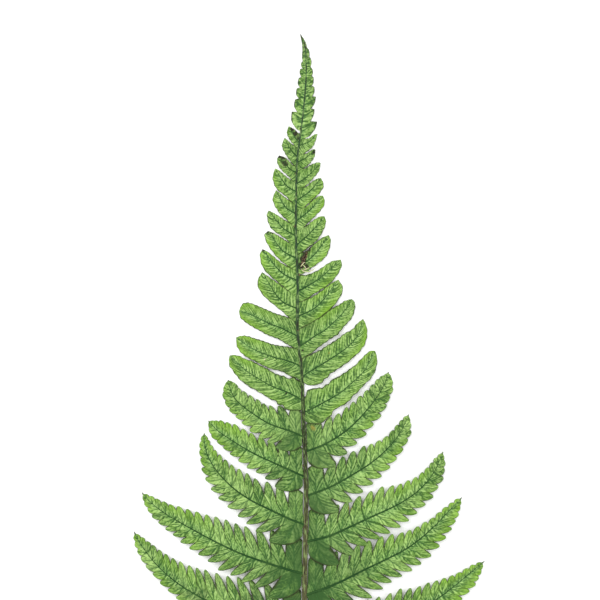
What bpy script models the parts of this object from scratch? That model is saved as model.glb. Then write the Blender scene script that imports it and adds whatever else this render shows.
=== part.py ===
"""A dried, pressed fern frond lying flat: a stipe and rachis with pinnae to both sides, grown as one piece.

The frond lies face up on the plane Z = 0, with its tip towards +Y. Plan points are counted on a grid of
0.4 mm, x to the right and y down from the tip end, and plan() turns them into metres.
"""

import math

import bmesh
import bpy
import numpy as np

# The grid, and the thickness of each part of a blade, in metres
GRID = 0.0004
GRID_MID_X = 309.0
GRID_MID_Y = 472.4
BLADE_THICKNESS = 0.0006
RIB_THICKNESS = 0.0010
SIMPLE_RIB_THICKNESS = 0.00072
TIP_CLEARANCE = 0.0003

# Heights: a pinna leaves the rachis at a share of its radius, arches by a share of its length and comes down
# at its tip. Its blade slopes across, upper edge down, as far out as SLOPE_ENDS, and its margins curl down
LOBED_START = 0.95
SIMPLE_START = 0.80
LIFT_PER_LENGTH = 0.024
ARCH_POWER = 1.2
FALL_POWER = 1.6
IMBRICATE_SLOPE = 0.075
SLOPE_ENDS = 0.55
MARGIN_CURL = 3.0
SIMPLE_SLOPE = 0.00008
SIMPLE_DROOP = 0.00006
APEX_HEIGHT = 0.00034
APEX_SPINE_HEIGHT = 0.00040

# The stalk's flat underside, and the smoothness of its tube
FLAT_SHARE = 0.75
STALK_STATIONS = 40
TUBE_SIDES_RESOLUTION = 2

# Lobes: where they stand along the rib, how they lean towards the pinna's tip (degrees from the rib), and the
# three points that round off a lobe's end, each as a share of the lobe's reach and of half its breadth
STATIONS = (0.0, 0.1, 0.3, 0.5, 0.7, 0.85, 0.94, 1.0)
LAST_LOBE_END = 0.955
CROWDING = 0.30
REACH_AHEAD = 0.10
REACH_AHEAD_FADE = 0.7
NARROWING = (0.66, 0.30)
FULLER = 1.08
CUT_SHARE = 0.82
CUTS_SHALLOWER_FROM = 0.25
FIRST_CUT = 0.55
GROWN_ON_CUT = 0.92
GROWN_ON_BELOW = 0.3
TOOTHED_BELOW = 0.30
LEAN_UPPER = 55.0
LEAN_LOWER = 57.0
LEAN_LOWER_BASE = 86.0
LEAN_TIP = 47.0
LEAN_SETTLES = 0.13
LEAN_MIDWAY = 0.6
LOBE_FOOT = 0.42
LOBE_BACK = (0.85, -0.88)
LOBE_POINT = (1.0, 0.10)
LOBE_FRONT = (0.90, 0.80)
TOOTH_POINT = (1.0, 0.15)
LAST_CUT = (2.6, 1.2)
SMALLEST_TOOTH = 0.08e-6
SIMPLE_STEPS = 6

# The rachis, from the cut end of the stipe to the tip of the frond: x, y, radius in mm
RACHIS = (
    (313.0, 911.0, 1.50),
    (311.0, 880.0, 1.45),
    (308.5, 840.0, 1.40),
    (306.5, 800.0, 1.36),
    (305.5, 760.0, 1.32),
    (304.8, 710.0, 1.28),
    (304.5, 660.0, 1.24),
    (304.4, 620.0, 1.20),
    (304.5, 595.0, 1.17),
    (305.2, 550.0, 1.12),
    (306.0, 500.0, 1.00),
    (305.0, 455.0, 0.86),
    (303.3, 415.0, 0.80),
    (301.5, 370.0, 0.74),
    (297.5, 330.0, 0.68),
    (297.7, 285.0, 0.62),
    (296.2, 245.0, 0.58),
    (296.0, 205.0, 0.55),
    (297.2, 160.0, 0.52),
    (301.0, 130.0, 0.50),
    (304.0, 105.0, 0.48),
    (306.2, 75.0, 0.46),
    (305.6, 52.0, 0.44),
)

# The frond's apex, where the pinnae run together. For each tooth, from the tip of the frond down: its point,
# the bulge of its outer edge and the notch below it
APEX_TIP = (300.0, 33.5)
APEX_SPINE = ((302.6, 40.0), (304.6, 46.0))
APEX_RACHIS_POINTS = 6
TOOTH_FOOT_DROP = 0.45
APEX_LEFT = (
    ((301.0, 38.0), (302.0, 43.0), (302.6, 50.0)),
    ((302.2, 54.0), (302.2, 58.0), (303.0, 61.0)),
    ((301.2, 63.0), (301.4, 66.0), (302.8, 68.5)),
    ((300.2, 69.0), (299.8, 73.0), (301.4, 77.0)),
    ((298.8, 78.0), (297.8, 83.5), (300.2, 87.5)),
    ((296.8, 88.5), (296.2, 94.0), (298.8, 98.5)),
    ((295.2, 99.5), (294.2, 106.0), (297.4, 112.0)),
    ((291.8, 111.5), (291.6, 121.0), (296.8, 129.2)),
)
APEX_RIGHT = (
    ((303.2, 38.0), (305.6, 42.5), (306.8, 47.5)),
    ((308.4, 49.0), (309.4, 53.0), (309.2, 57.0)),
    ((310.8, 58.5), (311.4, 62.5), (310.4, 67.0)),
    ((312.0, 68.5), (312.8, 72.5), (311.6, 76.0)),
    ((313.4, 77.0), (313.4, 82.5), (311.4, 86.0)),
    ((314.0, 86.5), (314.4, 91.5), (312.0, 96.5)),
    ((315.8, 96.5), (314.6, 103.0), (311.0, 108.8)),
    ((314.4, 109.0), (313.6, 115.0), (310.4, 121.2)),
    ((317.0, 121.5), (315.2, 128.5), (309.4, 136.2)),
)

# Simple pinnae, grown broadly on to the rachis, from the apex down: the rib from the rachis to the tip, then
# the upper and the lower edge from the rachis to just short of the tip
SIMPLE_LEFT = (
    (
        ((299.4, 143.0), (294.5, 136.5), (288.7, 126.0)),
        ((300.2, 136.5), (298.0, 133.8), (295.5, 130.2), (292.0, 127.8)),
        ((298.8, 148.0), (291.4, 141.6), (288.4, 137.0), (287.0, 132.0)),
    ),
    (
        ((297.6, 157.0), (291.0, 150.0), (284.7, 137.5)),
        ((298.4, 149.6), (294.0, 145.8), (290.4, 143.0), (287.5, 140.0)),
        ((297.0, 166.2), (290.0, 160.0), (285.0, 153.0), (282.0, 145.5)),
    ),
    (
        ((297.0, 173.0), (289.0, 168.0), (279.0, 155.3)),
        ((297.2, 168.4), (293.3, 166.0), (288.0, 160.0), (284.0, 157.0)),
        ((296.8, 183.0), (287.3, 175.0), (280.0, 168.0), (277.0, 160.5)),
    ),
    (
        ((296.8, 192.0), (286.0, 185.0), (275.0, 168.3)),
        ((296.8, 184.8), (286.6, 177.0), (282.0, 173.0), (278.5, 170.0)),
        ((296.4, 204.6), (286.0, 196.0), (276.6, 188.5), (272.8, 178.0)),
    ),
    (
        ((296.2, 214.0), (285.0, 206.5), (276.0, 190.0)),
        ((296.4, 206.6), (286.0, 198.2), (282.0, 195.0), (279.0, 192.3)),
        ((296.0, 226.4), (286.0, 218.8), (278.0, 211.0), (272.8, 199.5)),
    ),
    (
        ((296.0, 236.0), (283.0, 228.0), (268.5, 210.3)),
        ((295.9, 228.4), (286.0, 221.0), (280.0, 217.0), (273.5, 212.8)),
        ((296.2, 246.6), (286.0, 238.6), (271.5, 228.5), (267.0, 216.5)),
    ),
    (
        ((296.8, 258.5), (282.0, 250.0), (268.0, 230.8)),
        ((296.6, 248.8), (286.0, 240.8), (278.5, 236.0), (273.0, 232.8)),
        ((297.4, 270.6), (281.0, 260.6), (270.0, 248.0), (264.5, 236.0)),
    ),
    (
        ((297.6, 280.5), (281.0, 272.0), (262.5, 249.0)),
        ((297.6, 272.8), (281.0, 262.8), (274.0, 257.0), (268.0, 252.0)),
        ((297.8, 297.0), (283.0, 286.2), (265.0, 270.5), (260.0, 256.5)),
    ),
    (
        ((297.7, 309.0), (280.0, 299.5), (262.0, 272.0)),
        ((297.8, 299.2), (288.0, 290.6), (277.5, 283.0), (269.0, 277.0)),
        ((297.6, 321.6), (285.0, 313.0), (264.0, 296.0), (257.5, 283.0)),
    ),
)
SIMPLE_RIGHT = (
    (
        ((299.2, 145.5), (309.0, 141.5), (317.5, 133.6)),
        ((300.4, 139.8), (308.8, 138.2), (312.2, 136.0), (315.0, 134.2)),
        ((298.4, 154.0), (307.0, 151.2), (312.5, 146.8), (315.6, 140.5)),
    ),
    (
        ((298.0, 162.0), (307.0, 157.0), (315.4, 149.2)),
        ((298.4, 155.8), (306.8, 153.2), (311.0, 150.4), (313.4, 149.2)),
        ((297.4, 168.8), (305.0, 166.8), (310.5, 162.5), (314.4, 156.5)),
    ),
    (
        ((297.2, 183.5), (309.0, 175.0), (320.7, 162.8)),
        ((297.2, 170.5), (305.0, 168.6), (311.0, 164.8), (317.5, 162.3)),
        ((297.0, 187.0), (305.6, 185.2), (311.5, 180.0), (318.8, 171.0)),
    ),
    (
        ((296.6, 200.5), (310.0, 191.0), (321.0, 178.0)),
        ((297.0, 188.8), (305.4, 187.2), (311.8, 182.0), (317.5, 178.6)),
        ((296.5, 209.0), (305.0, 205.6), (318.5, 194.0), (323.6, 185.5)),
    ),
    (
        ((296.3, 221.0), (310.0, 210.0), (323.0, 195.5)),
        ((296.4, 210.8), (305.4, 207.4), (313.0, 200.0), (319.0, 196.2)),
        ((296.2, 229.0), (304.4, 225.6), (319.5, 211.5), (324.6, 203.0)),
    ),
    (
        ((296.8, 245.0), (311.0, 232.0), (324.5, 216.2)),
        ((296.2, 230.8), (304.6, 227.4), (312.5, 221.0), (320.0, 216.6)),
        ((297.0, 253.0), (312.5, 244.4), (321.0, 234.5), (325.8, 223.0)),
    ),
    (
        ((297.6, 268.0), (314.0, 255.0), (329.0, 235.0)),
        ((297.2, 255.2), (305.0, 252.2), (315.0, 243.6), (323.0, 237.4)),
        ((297.9, 273.0), (308.0, 269.5), (325.0, 257.5), (330.6, 243.0)),
    ),
    (
        ((297.8, 291.5), (318.0, 279.5), (341.0, 259.5)),
        ((297.8, 277.0), (306.0, 276.2), (318.5, 270.0), (331.0, 261.8)),
        ((297.8, 300.6), (307.0, 297.5), (330.0, 283.4), (341.0, 268.0)),
    ),
    (
        ((298.0, 316.5), (318.0, 305.5), (338.5, 279.5)),
        ((297.8, 302.8), (306.0, 300.4), (318.5, 293.0), (331.0, 283.6)),
        ((298.4, 327.0), (317.0, 319.0), (334.0, 305.5), (342.8, 290.0)),
    ),
)

# Lobed pinnae, from the apex down: rib points from the rachis out, half widths above and then below the rib at
# STATIONS[1:6], lobes to a side, and the depth of the cuts at the base and near the tip as a share of the width
LOBED_LEFT = (
    (
        ((297.3, 335), (277, 327), (262, 320), (247, 312.5), (239, 311)),
        (12.0, 11.8, 11.2, 10.5, 8.6),
        (11.5, 11.7, 11.0, 10.2, 8.0),
        9, 0.10, 0.06,
    ),
    (
        ((299.4, 364), (285, 359.5), (266, 355), (248, 346.5), (236, 337.5)),
        (13.2, 12.2, 11.6, 10.0, 7.4),
        (13.0, 12.6, 11.0, 10.0, 8.0),
        9, 0.12, 0.06,
    ),
    (
        ((302.4, 399.5), (290, 394), (275, 387.5), (258, 379), (243, 368), (229.5, 355.5)),
        (14.2, 12.8, 12.4, 10.5, 7.0),
        (14.0, 13.6, 11.6, 10.0, 7.0),
        10, 0.24, 0.10,
    ),
    (
        ((304, 437), (290, 431), (270, 424), (255, 415), (238, 402), (231, 391), (228, 379.5)),
        (18.5, 16.5, 14.0, 12.0, 8.6),
        (18.5, 15.6, 14.0, 11.6, 8.0),
        11, 0.42, 0.14,
    ),
    (
        ((305, 477), (290, 470), (270, 461), (255, 454), (236, 443), (218, 431), (208, 420.5)),
        (21.0, 16.6, 16.6, 14.6, 9.6),
        (20.0, 15.8, 14.0, 11.4, 8.0),
        11, 0.50, 0.16,
    ),
    (
        ((305.6, 525), (290, 519), (270, 509.5), (250, 499.5), (230, 485), (214, 467), (205.5, 449), (204, 432.5)),
        (25.0, 20.0, 19.0, 14.0, 8.0),
        (24.5, 20.5, 17.5, 13.6, 7.0),
        13, 0.58, 0.20,
    ),
    (
        ((304.8, 574), (288, 569.5), (262, 561), (238, 552), (213, 540), (185, 525), (163, 512), (147, 499),
         (141.5, 492)),
        (27.0, 25.0, 23.0, 15.5, 9.0),
        (25.5, 22.8, 20.2, 15.0, 10.0),
        16, 0.62, 0.22,
    ),
    (
        ((304.4, 628), (280, 623.5), (252, 616), (226, 607.5), (203, 598), (178, 583), (158, 566), (141, 545),
         (133.5, 531)),
        (30.0, 29.5, 26.0, 18.0, 10.5),
        (26.0, 23.0, 17.0, 11.5, 8.5),
        17, 0.64, 0.22,
    ),
    (
        ((304.6, 686), (275, 681), (240, 672), (205, 659), (170, 641), (143, 621), (124, 600)),
        (30.0, 29.0, 26.0, 18.5, 11.0),
        (28.0, 26.0, 21.0, 14.5, 9.5),
        17, 0.64, 0.22,
    ),
    (
        ((305.4, 748), (275, 745.5), (240, 740), (205, 731), (172, 718), (146, 703), (129, 688)),
        (28.0, 27.0, 24.0, 17.5, 10.5),
        (27.0, 25.0, 20.0, 14.0, 9.0),
        16, 0.64, 0.22,
    ),
)
LOBED_RIGHT = (
    (
        ((300, 343.5), (315, 336), (330, 326.5), (343, 314.5), (351, 299)),
        (12.4, 12.4, 12.0, 10.4, 7.0),
        (11.5, 11.0, 10.2, 8.6, 7.2),
        8, 0.10, 0.06,
    ),
    (
        ((301.6, 375), (320, 366), (335, 356), (350, 345), (359, 333), (363, 319.5)),
        (14.0, 13.0, 12.2, 9.6, 5.6),
        (13.4, 11.8, 11.8, 11.2, 8.4),
        9, 0.14, 0.06,
    ),
    (
        ((303.2, 411), (320, 403.5), (340, 392), (355, 380), (370, 361.5), (375.5, 350.5)),
        (15.5, 12.8, 13.6, 11.0, 7.6),
        (15.6, 13.6, 13.0, 10.4, 8.2),
        10, 0.26, 0.10,
    ),
    (
        ((304.8, 452), (325, 444), (345, 431.5), (362, 415.5), (377, 397), (386, 381), (388.5, 371.5)),
        (21.5, 18.0, 16.4, 13.0, 8.6),
        (20.0, 15.8, 14.4, 13.4, 9.0),
        11, 0.46, 0.16,
    ),
    (
        ((306, 496), (330, 487), (350, 476), (370, 463.5), (387, 449), (400, 433), (409, 414)),
        (21.0, 18.6, 17.8, 10.8, 6.6),
        (22.0, 18.2, 16.6, 13.0, 9.0),
        12, 0.54, 0.18,
    ),
    (
        ((305.4, 542), (330, 535.5), (352, 525.5), (377, 514), (400, 503), (420, 489), (434, 472), (443.5, 451)),
        (25.0, 21.0, 21.0, 13.4, 8.4),
        (24.5, 22.4, 20.2, 14.6, 10.4),
        15, 0.60, 0.20,
    ),
    (
        ((304.5, 595.5), (335, 584), (365, 569), (390, 557), (410, 546), (430, 530), (450, 510), (462.5, 497)),
        (27.0, 24.0, 20.0, 11.8, 5.8),
        (26.0, 24.0, 21.6, 17.6, 12.0),
        16, 0.62, 0.22,
    ),
    (
        ((304.4, 650), (330, 645), (360, 636), (390, 624), (420, 609), (445, 593), (466, 576.5), (485, 561)),
        (29.0, 27.5, 26.0, 17.0, 7.6),
        (27.0, 25.0, 21.0, 16.6, 13.0),
        17, 0.64, 0.22,
    ),
    (
        ((304.8, 710), (335, 704), (370, 694), (405, 680), (440, 661), (470, 640), (494, 619)),
        (30.0, 28.5, 26.0, 18.0, 10.0),
        (28.0, 26.0, 21.5, 15.5, 10.5),
        17, 0.64, 0.22,
    ),
    (
        ((305.9, 774), (335, 771), (370, 764), (405, 754), (438, 740), (466, 723), (487, 706)),
        (28.0, 27.0, 24.0, 17.5, 10.0),
        (27.0, 25.0, 20.0, 14.5, 9.5),
        16, 0.64, 0.22,
    ),
)


def plan(x, y):
    """A point of the grid, in metres."""
    return (x - GRID_MID_X) * GRID, (GRID_MID_Y - y) * GRID


def smooth_path(points, count):
    """Evenly spaced points on a smooth curve through the given ones."""
    knots = np.array(points, float)
    padded = np.vstack([2 * knots[0] - knots[1], knots, 2 * knots[-1] - knots[-2]])
    dense = []
    for k in range(1, len(padded) - 2):
        a, b, c, d = padded[k - 1 : k + 3]
        for t in np.linspace(0.0, 1.0, 12, endpoint=False):
            bend = (2 * a - 5 * b + 4 * c - d) * t**2 + (3 * b - a - 3 * c + d) * t**3
            dense.append(0.5 * (2 * b + (c - a) * t + bend))
    dense = np.array(dense + [padded[-2]])
    run = np.concatenate([[0.0], np.cumsum(np.linalg.norm(np.diff(dense, axis=0), axis=1))])
    wanted = np.linspace(0.0, run[-1], count)
    return np.stack([np.interp(wanted, run, dense[:, k]) for k in range(dense.shape[1])], axis=1)


def rachis_radius(y):
    """Radius of the rachis in metres, at a height on the grid."""
    stations = np.array(RACHIS)
    return float(np.interp(-y, -stations[:, 1], stations[:, 2])) / 1000.0


def rib_height(s, start, length):
    """Height of a pinna's rib, from the rachis at s = 0 to the tip at s = 1, where it comes down to the surface."""
    arch = LIFT_PER_LENGTH * length * math.sin(math.pi * s) ** ARCH_POWER
    return start + (TIP_CLEARANCE - start) * s**FALL_POWER + arch


def turn(points, a, b, c):
    """Twice the signed plan area of a triangle, positive where it runs anticlockwise."""
    u = np.subtract(points[b], points[a])
    v = np.subtract(points[c], points[a])
    return u[0] * v[1] - u[1] * v[0]


def blade_object(name, points, triangles, thickness):
    """A closed blade: its upper face is the given surface, and its lower face is the same one thickness below."""
    mesh = bpy.data.meshes.new(name)
    skin = bmesh.new()
    vertices = [skin.verts.new((p[0], p[1], max(p[2], TIP_CLEARANCE) + t / 2)) for p, t in zip(points, thickness)]
    for a, b, c in triangles:
        area = turn(points, a, b, c)
        if abs(area) < 1e-12:
            continue
        corners = (a, b, c) if area > 0 else (a, c, b)
        skin.faces.new([vertices[k] for k in corners])
    depth = {(round(v.co.x, 9), round(v.co.y, 9)): t for v, t in zip(vertices, thickness)}
    grown = bmesh.ops.extrude_face_region(skin, geom=skin.faces[:], use_keep_orig=True)
    for element in grown["geom"]:
        if isinstance(element, bmesh.types.BMVert):
            element.co.z -= depth[(round(element.co.x, 9), round(element.co.y, 9))]
    bmesh.ops.recalc_face_normals(skin, faces=skin.faces[:])
    if sum(f.normal.z * f.calc_area() * f.calc_center_median().z for f in skin.faces) < 0:
        bmesh.ops.reverse_faces(skin, faces=skin.faces[:])
    bmesh.ops.triangulate(skin, faces=skin.faces[:])
    skin.to_mesh(mesh)
    skin.free()
    return bpy.data.objects.new(name, mesh)


def lobed_blade(name, rib, upper, lower, lobes, cut_base, cut_tip):
    """A pinna with its blade cut into leaning lobes, which shrink and run together towards the tip."""
    path = smooth_path(rib, 241)
    run = np.concatenate([[0.0], np.cumsum(np.linalg.norm(np.diff(path, axis=0), axis=1))])
    length = run[-1]
    start_height = LOBED_START * rachis_radius(path[0][1])
    root = rachis_radius(path[0][1]) / GRID + 1.0
    outward = 1.0 if rib[-1][0] > rib[0][0] else -1.0
    grown_on = cut_base < GROWN_ON_BELOW
    fuller = 1.0 if grown_on else FULLER
    shares = np.linspace(0.0, 1.0, lobes + 1)
    marks = root + (length * LAST_LOBE_END - root) * (shares + CROWDING * shares * (1.0 - shares))

    def at(distance):
        return np.array([np.interp(distance, run, path[:, 0]), np.interp(distance, run, path[:, 1])])

    def along(distance):
        near = at(min(distance + 1.5, length)) - at(max(distance - 1.5, 0.0))
        return near / np.linalg.norm(near)

    def half_width(s, widths):
        profile = (widths[0],) + tuple(widths) + tuple(widths[-1] * share for share in NARROWING)
        return fuller * float(np.interp(s + REACH_AHEAD * (1.0 - s) ** REACH_AHEAD_FADE, STATIONS, profile))

    def cut_depth(s):
        shallower = max(0.0, (s - CUTS_SHALLOWER_FROM) / (1.0 - CUTS_SHALLOWER_FROM))
        return CUT_SHARE * (cut_base + (cut_tip - cut_base) * shallower)

    points, thickness, triangles = [], [], []

    def add(spot, s, across, thick):
        # the lower edge of each pinna lies over the upper edge of the next one down the frond
        slope = IMBRICATE_SLOPE * across * max(0.0, 1.0 - s / SLOPE_ENDS) * GRID
        curl = MARGIN_CURL * (across * GRID) ** 2
        x, y = plan(spot[0], spot[1])
        points.append((x, y, rib_height(s, start_height, length * GRID) - slope - curl))
        thickness.append(thick)
        return len(points) - 1

    def rib_point(distance):
        s = distance / length
        return add(at(distance), s, 0.0, RIB_THICKNESS + (BLADE_THICKNESS - RIB_THICKNESS) * s)

    stalk = rib_point(0.0)
    ribs = [rib_point(mark) for mark in marks]
    tip = rib_point(length)
    beside = math.degrees(math.acos(-along(root)[1]))
    first = root / length
    for side, widths in ((1.0, upper), (-1.0, lower)):
        # next to the rachis the upper lobes stand along it; those of a shallow cut pinna run on to it on both sides
        if side > 0:
            lean_base, lean_mid = beside - (1.0 if grown_on else 3.0), LEAN_UPPER
        else:
            lean_base, lean_mid = (176.0 - beside if grown_on else LEAN_LOWER_BASE), LEAN_LOWER
        leans = (lean_base, lean_mid + 2.0, lean_mid - 2.0, LEAN_TIP)
        lean_at = (first, first + LEAN_SETTLES, LEAN_MIDWAY, 1.0)

        def lobe_frame(distance):
            s = distance / length
            forward = along(distance)
            across = np.array([forward[1], -forward[0]]) * outward * side
            angle = math.radians(np.interp(s, lean_at, leans))
            axis = across * math.sin(angle) + forward * math.cos(angle)
            ahead = forward * math.sin(angle) - across * math.cos(angle)
            return s, axis, ahead, angle, half_width(s, widths) / math.sin(angle)

        cuts = []
        for k, mark in enumerate(marks):
            s, axis, ahead, angle, reach = lobe_frame(mark)
            deep = reach * (1.0 - cut_depth(s))
            if k == 0:
                deep = GROWN_ON_CUT * half_width(s, widths) if grown_on else deep * FIRST_CUT
            spot = at(mark) + axis * deep
            if k == lobes:
                forward = along(mark)
                across = np.array([forward[1], -forward[0]]) * outward * side
                spot = at(mark) + across * LAST_CUT[0] + forward * LAST_CUT[1]
            cuts.append(add(spot, s, side * deep * math.sin(angle), BLADE_THICKNESS))
        for k in range(lobes):
            pitch = marks[k + 1] - marks[k]
            foot = marks[k] + LOBE_FOOT * pitch
            s, axis, ahead, angle, reach = lobe_frame(foot)
            breadth = 0.5 * pitch * math.sin(angle)

            def lobe_point(place):
                u, v = place
                spot = at(foot) + axis * reach * u + ahead * breadth * v
                return add(spot, s, side * reach * u * math.sin(angle), BLADE_THICKNESS)

            triangles.append((ribs[k], cuts[k], cuts[k + 1]))
            triangles.append((ribs[k], cuts[k + 1], ribs[k + 1]))
            if cut_depth(s) > TOOTHED_BELOW:
                back, point, front = lobe_point(LOBE_BACK), lobe_point(LOBE_POINT), lobe_point(LOBE_FRONT)
                triangles.append((cuts[k], back, cuts[k + 1]))
                triangles.append((back, front, cuts[k + 1]))
                triangles.append((back, point, front))
            else:
                point = lobe_point(TOOTH_POINT)
                # a tooth that would lie flat against the edge is left out
                if abs(turn(points, cuts[k], point, cuts[k + 1])) > 2.0 * SMALLEST_TOOTH:
                    triangles.append((cuts[k], point, cuts[k + 1]))
        triangles.append((stalk, cuts[0], ribs[0]))
        triangles.append((ribs[-1], cuts[-1], tip))
    return blade_object(name, points, triangles, thickness)


def simple_blade(name, rib, upper, lower):
    """An undivided pinna: two strips of blade, one to each side of the rib."""
    rib_path = smooth_path(rib, SIMPLE_STEPS)
    reach = math.dist(rib[0], rib[-1]) * GRID
    start_height = SIMPLE_START * rachis_radius(rib[0][1])
    last = SIMPLE_STEPS - 1
    points, thickness, triangles = [], [], []
    for k, spot in enumerate(rib_path):
        points.append(plan(*spot) + (rib_height(k / last, start_height, reach),))
        thickness.append(SIMPLE_RIB_THICKNESS if k < last else BLADE_THICKNESS)
    for side, outline in ((1.0, upper), (-1.0, lower)):
        edge = smooth_path(outline + (rib[-1],), SIMPLE_STEPS)
        first = len(points)
        for k, spot in enumerate(edge[:-1]):
            s = k / last
            droop = SIMPLE_SLOPE * side * (1.0 - s) + SIMPLE_DROOP
            points.append(plan(*spot) + (rib_height(s, start_height, reach) - droop,))
            thickness.append(BLADE_THICKNESS)
        ring = list(range(first, len(points))) + [last]
        for k in range(last):
            triangles.append((k, ring[k], ring[k + 1]))
            if k + 1 < last:
                triangles.append((k, ring[k + 1], k + 1))
    return blade_object(name, points, triangles, thickness)


def apex_blade(name):
    """The frond's own tip: a narrow blade whose teeth point up the frond, fanned out from the rachis."""
    upper_rachis = tuple(point[:2] for point in reversed(RACHIS))[:APEX_RACHIS_POINTS]
    stations = np.array((APEX_TIP,) + APEX_SPINE + upper_rachis)
    points, triangles = [], []

    def add(x, y, height):
        points.append(plan(x, y) + (height,))
        return len(points) - 1

    def rachis_at(y):
        return float(np.interp(y, stations[:, 1], stations[:, 0]))

    # each tooth fans out from a point of the rachis a little below its lower notch
    feet = {}
    for tooth in APEX_LEFT + APEX_RIGHT:
        x, y = tooth[2]
        feet[tooth] = y + TOOTH_FOOT_DROP * abs(x - rachis_at(y))
    heights = sorted(feet.values())
    spine = [add(*APEX_TIP, TIP_CLEARANCE)] + [add(rachis_at(y), y, APEX_SPINE_HEIGHT) for y in heights]
    for teeth in (APEX_LEFT, APEX_RIGHT):
        rung = 0
        notch = spine[0]
        for tooth in teeth:
            goal = heights.index(feet[tooth]) + 1
            while rung < goal:
                if notch != spine[rung]:
                    triangles.append((notch, spine[rung], spine[rung + 1]))
                rung += 1
            outline = [notch] + [add(x, y, APEX_HEIGHT) for x, y in tooth]
            triangles.extend((spine[rung], outline[k], outline[k + 1]) for k in range(3))
            notch = outline[3]
    return blade_object(name, points, triangles, [BLADE_THICKNESS] * len(points))


def rachis_object(name):
    """A tapering round stalk, flattened underneath where it lies on the surface."""
    curve = bpy.data.curves.new(name, "CURVE")
    curve.dimensions = "3D"
    curve.twist_mode = "Z_UP"
    curve.bevel_depth = 1.0
    curve.bevel_resolution = TUBE_SIDES_RESOLUTION
    curve.use_fill_caps = True
    spline = curve.splines.new("POLY")
    spline.points.add(STALK_STATIONS - 1)
    for point, (x, y, radius) in zip(spline.points, smooth_path(RACHIS, STALK_STATIONS)):
        point.co = plan(x, y) + (FLAT_SHARE * radius / 1000.0, 1.0)
        point.radius = radius / 1000.0
    swept = bpy.data.objects.new(name + "_path", curve)
    bpy.context.scene.collection.objects.link(swept)
    mesh = bpy.data.meshes.new_from_object(swept.evaluated_get(bpy.context.evaluated_depsgraph_get()))
    bpy.data.objects.remove(swept)
    tube = bmesh.new()
    tube.from_mesh(mesh)
    bmesh.ops.remove_doubles(tube, verts=tube.verts[:], dist=1e-6)
    everything = tube.verts[:] + tube.edges[:] + tube.faces[:]
    cut = bmesh.ops.bisect_plane(tube, geom=everything, plane_co=(0, 0, 0), plane_no=(0, 0, -1), clear_outer=True)
    for element in cut["geom_cut"]:
        if isinstance(element, bmesh.types.BMVert):
            element.co.z = 0.0
    bmesh.ops.holes_fill(tube, edges=[e for e in tube.edges if e.is_boundary])
    bmesh.ops.triangulate(tube, faces=tube.faces[:])
    bmesh.ops.recalc_face_normals(tube, faces=tube.faces[:])
    tube.to_mesh(mesh)
    tube.free()
    return bpy.data.objects.new(name, mesh)


def dried_leaf_material():
    leaf = bpy.data.materials.new("dried_leaf_green")
    leaf.use_nodes = True
    shader = leaf.node_tree.nodes["Principled BSDF"]
    shader.inputs["Base Color"].default_value = (0.16, 0.35, 0.08, 1.0)
    shader.inputs["Roughness"].default_value = 0.7
    return leaf


def build_frond():
    """The stalk with every blade grown on to it, as one closed mesh."""
    for old in list(bpy.data.objects):
        bpy.data.objects.remove(old)
    holder = bpy.data.collections.new("fern_frond_collection")
    bpy.context.scene.collection.children.link(holder)
    frond = rachis_object("fern_frond")
    holder.objects.link(frond)

    blades = bpy.data.collections.new("blades")
    bpy.context.scene.collection.children.link(blades)
    blades.objects.link(apex_blade("apex"))
    for k, row in enumerate(SIMPLE_LEFT + SIMPLE_RIGHT):
        blades.objects.link(simple_blade(f"simple_{k:02d}", *row))
    for k, row in enumerate(LOBED_LEFT + LOBED_RIGHT):
        blades.objects.link(lobed_blade(f"lobed_{k:02d}", *row))

    join = frond.modifiers.new("grown_together", "BOOLEAN")
    join.operation = "UNION"
    join.operand_type = "COLLECTION"
    join.collection = blades
    join.solver = "EXACT"
    bpy.context.view_layer.update()
    whole = bpy.data.meshes.new_from_object(frond.evaluated_get(bpy.context.evaluated_depsgraph_get()))
    frond.modifiers.remove(join)
    frond.data = whole
    for used in list(blades.objects):
        bpy.data.objects.remove(used)
    bpy.data.collections.remove(blades)
    frond.data.materials.clear()
    frond.data.materials.append(dried_leaf_material())


if __name__ == "__main__":
    build_frond()
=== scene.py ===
"""A dried, pressed fern frond: lobed blades, ribs, veins, stalk and marks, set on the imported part's frame.

Plan points are counted on the same grid as the part's: 0.4 mm a step, x to the right and y down from the tip
end. plan() turns them into metres in the frame of the part.
"""

import math

import bpy
import numpy as np
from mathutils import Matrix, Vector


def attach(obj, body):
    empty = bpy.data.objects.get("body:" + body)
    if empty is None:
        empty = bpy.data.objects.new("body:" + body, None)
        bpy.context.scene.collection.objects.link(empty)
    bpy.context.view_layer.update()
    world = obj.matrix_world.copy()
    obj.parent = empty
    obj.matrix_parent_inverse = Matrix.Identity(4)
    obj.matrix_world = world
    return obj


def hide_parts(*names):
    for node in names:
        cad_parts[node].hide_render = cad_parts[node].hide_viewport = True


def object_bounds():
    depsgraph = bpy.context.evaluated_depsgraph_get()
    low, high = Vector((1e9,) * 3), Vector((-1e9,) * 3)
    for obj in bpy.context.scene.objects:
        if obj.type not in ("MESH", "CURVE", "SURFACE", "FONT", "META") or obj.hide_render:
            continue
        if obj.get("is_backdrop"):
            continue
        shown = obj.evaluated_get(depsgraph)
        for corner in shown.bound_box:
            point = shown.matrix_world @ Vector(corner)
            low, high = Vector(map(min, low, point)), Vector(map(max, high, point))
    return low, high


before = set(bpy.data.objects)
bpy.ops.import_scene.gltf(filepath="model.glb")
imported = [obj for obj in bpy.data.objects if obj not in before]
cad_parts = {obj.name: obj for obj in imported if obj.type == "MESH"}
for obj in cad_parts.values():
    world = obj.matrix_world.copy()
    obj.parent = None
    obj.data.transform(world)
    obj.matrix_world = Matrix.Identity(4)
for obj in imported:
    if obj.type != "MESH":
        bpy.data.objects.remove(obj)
CAD_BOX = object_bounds()

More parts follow.
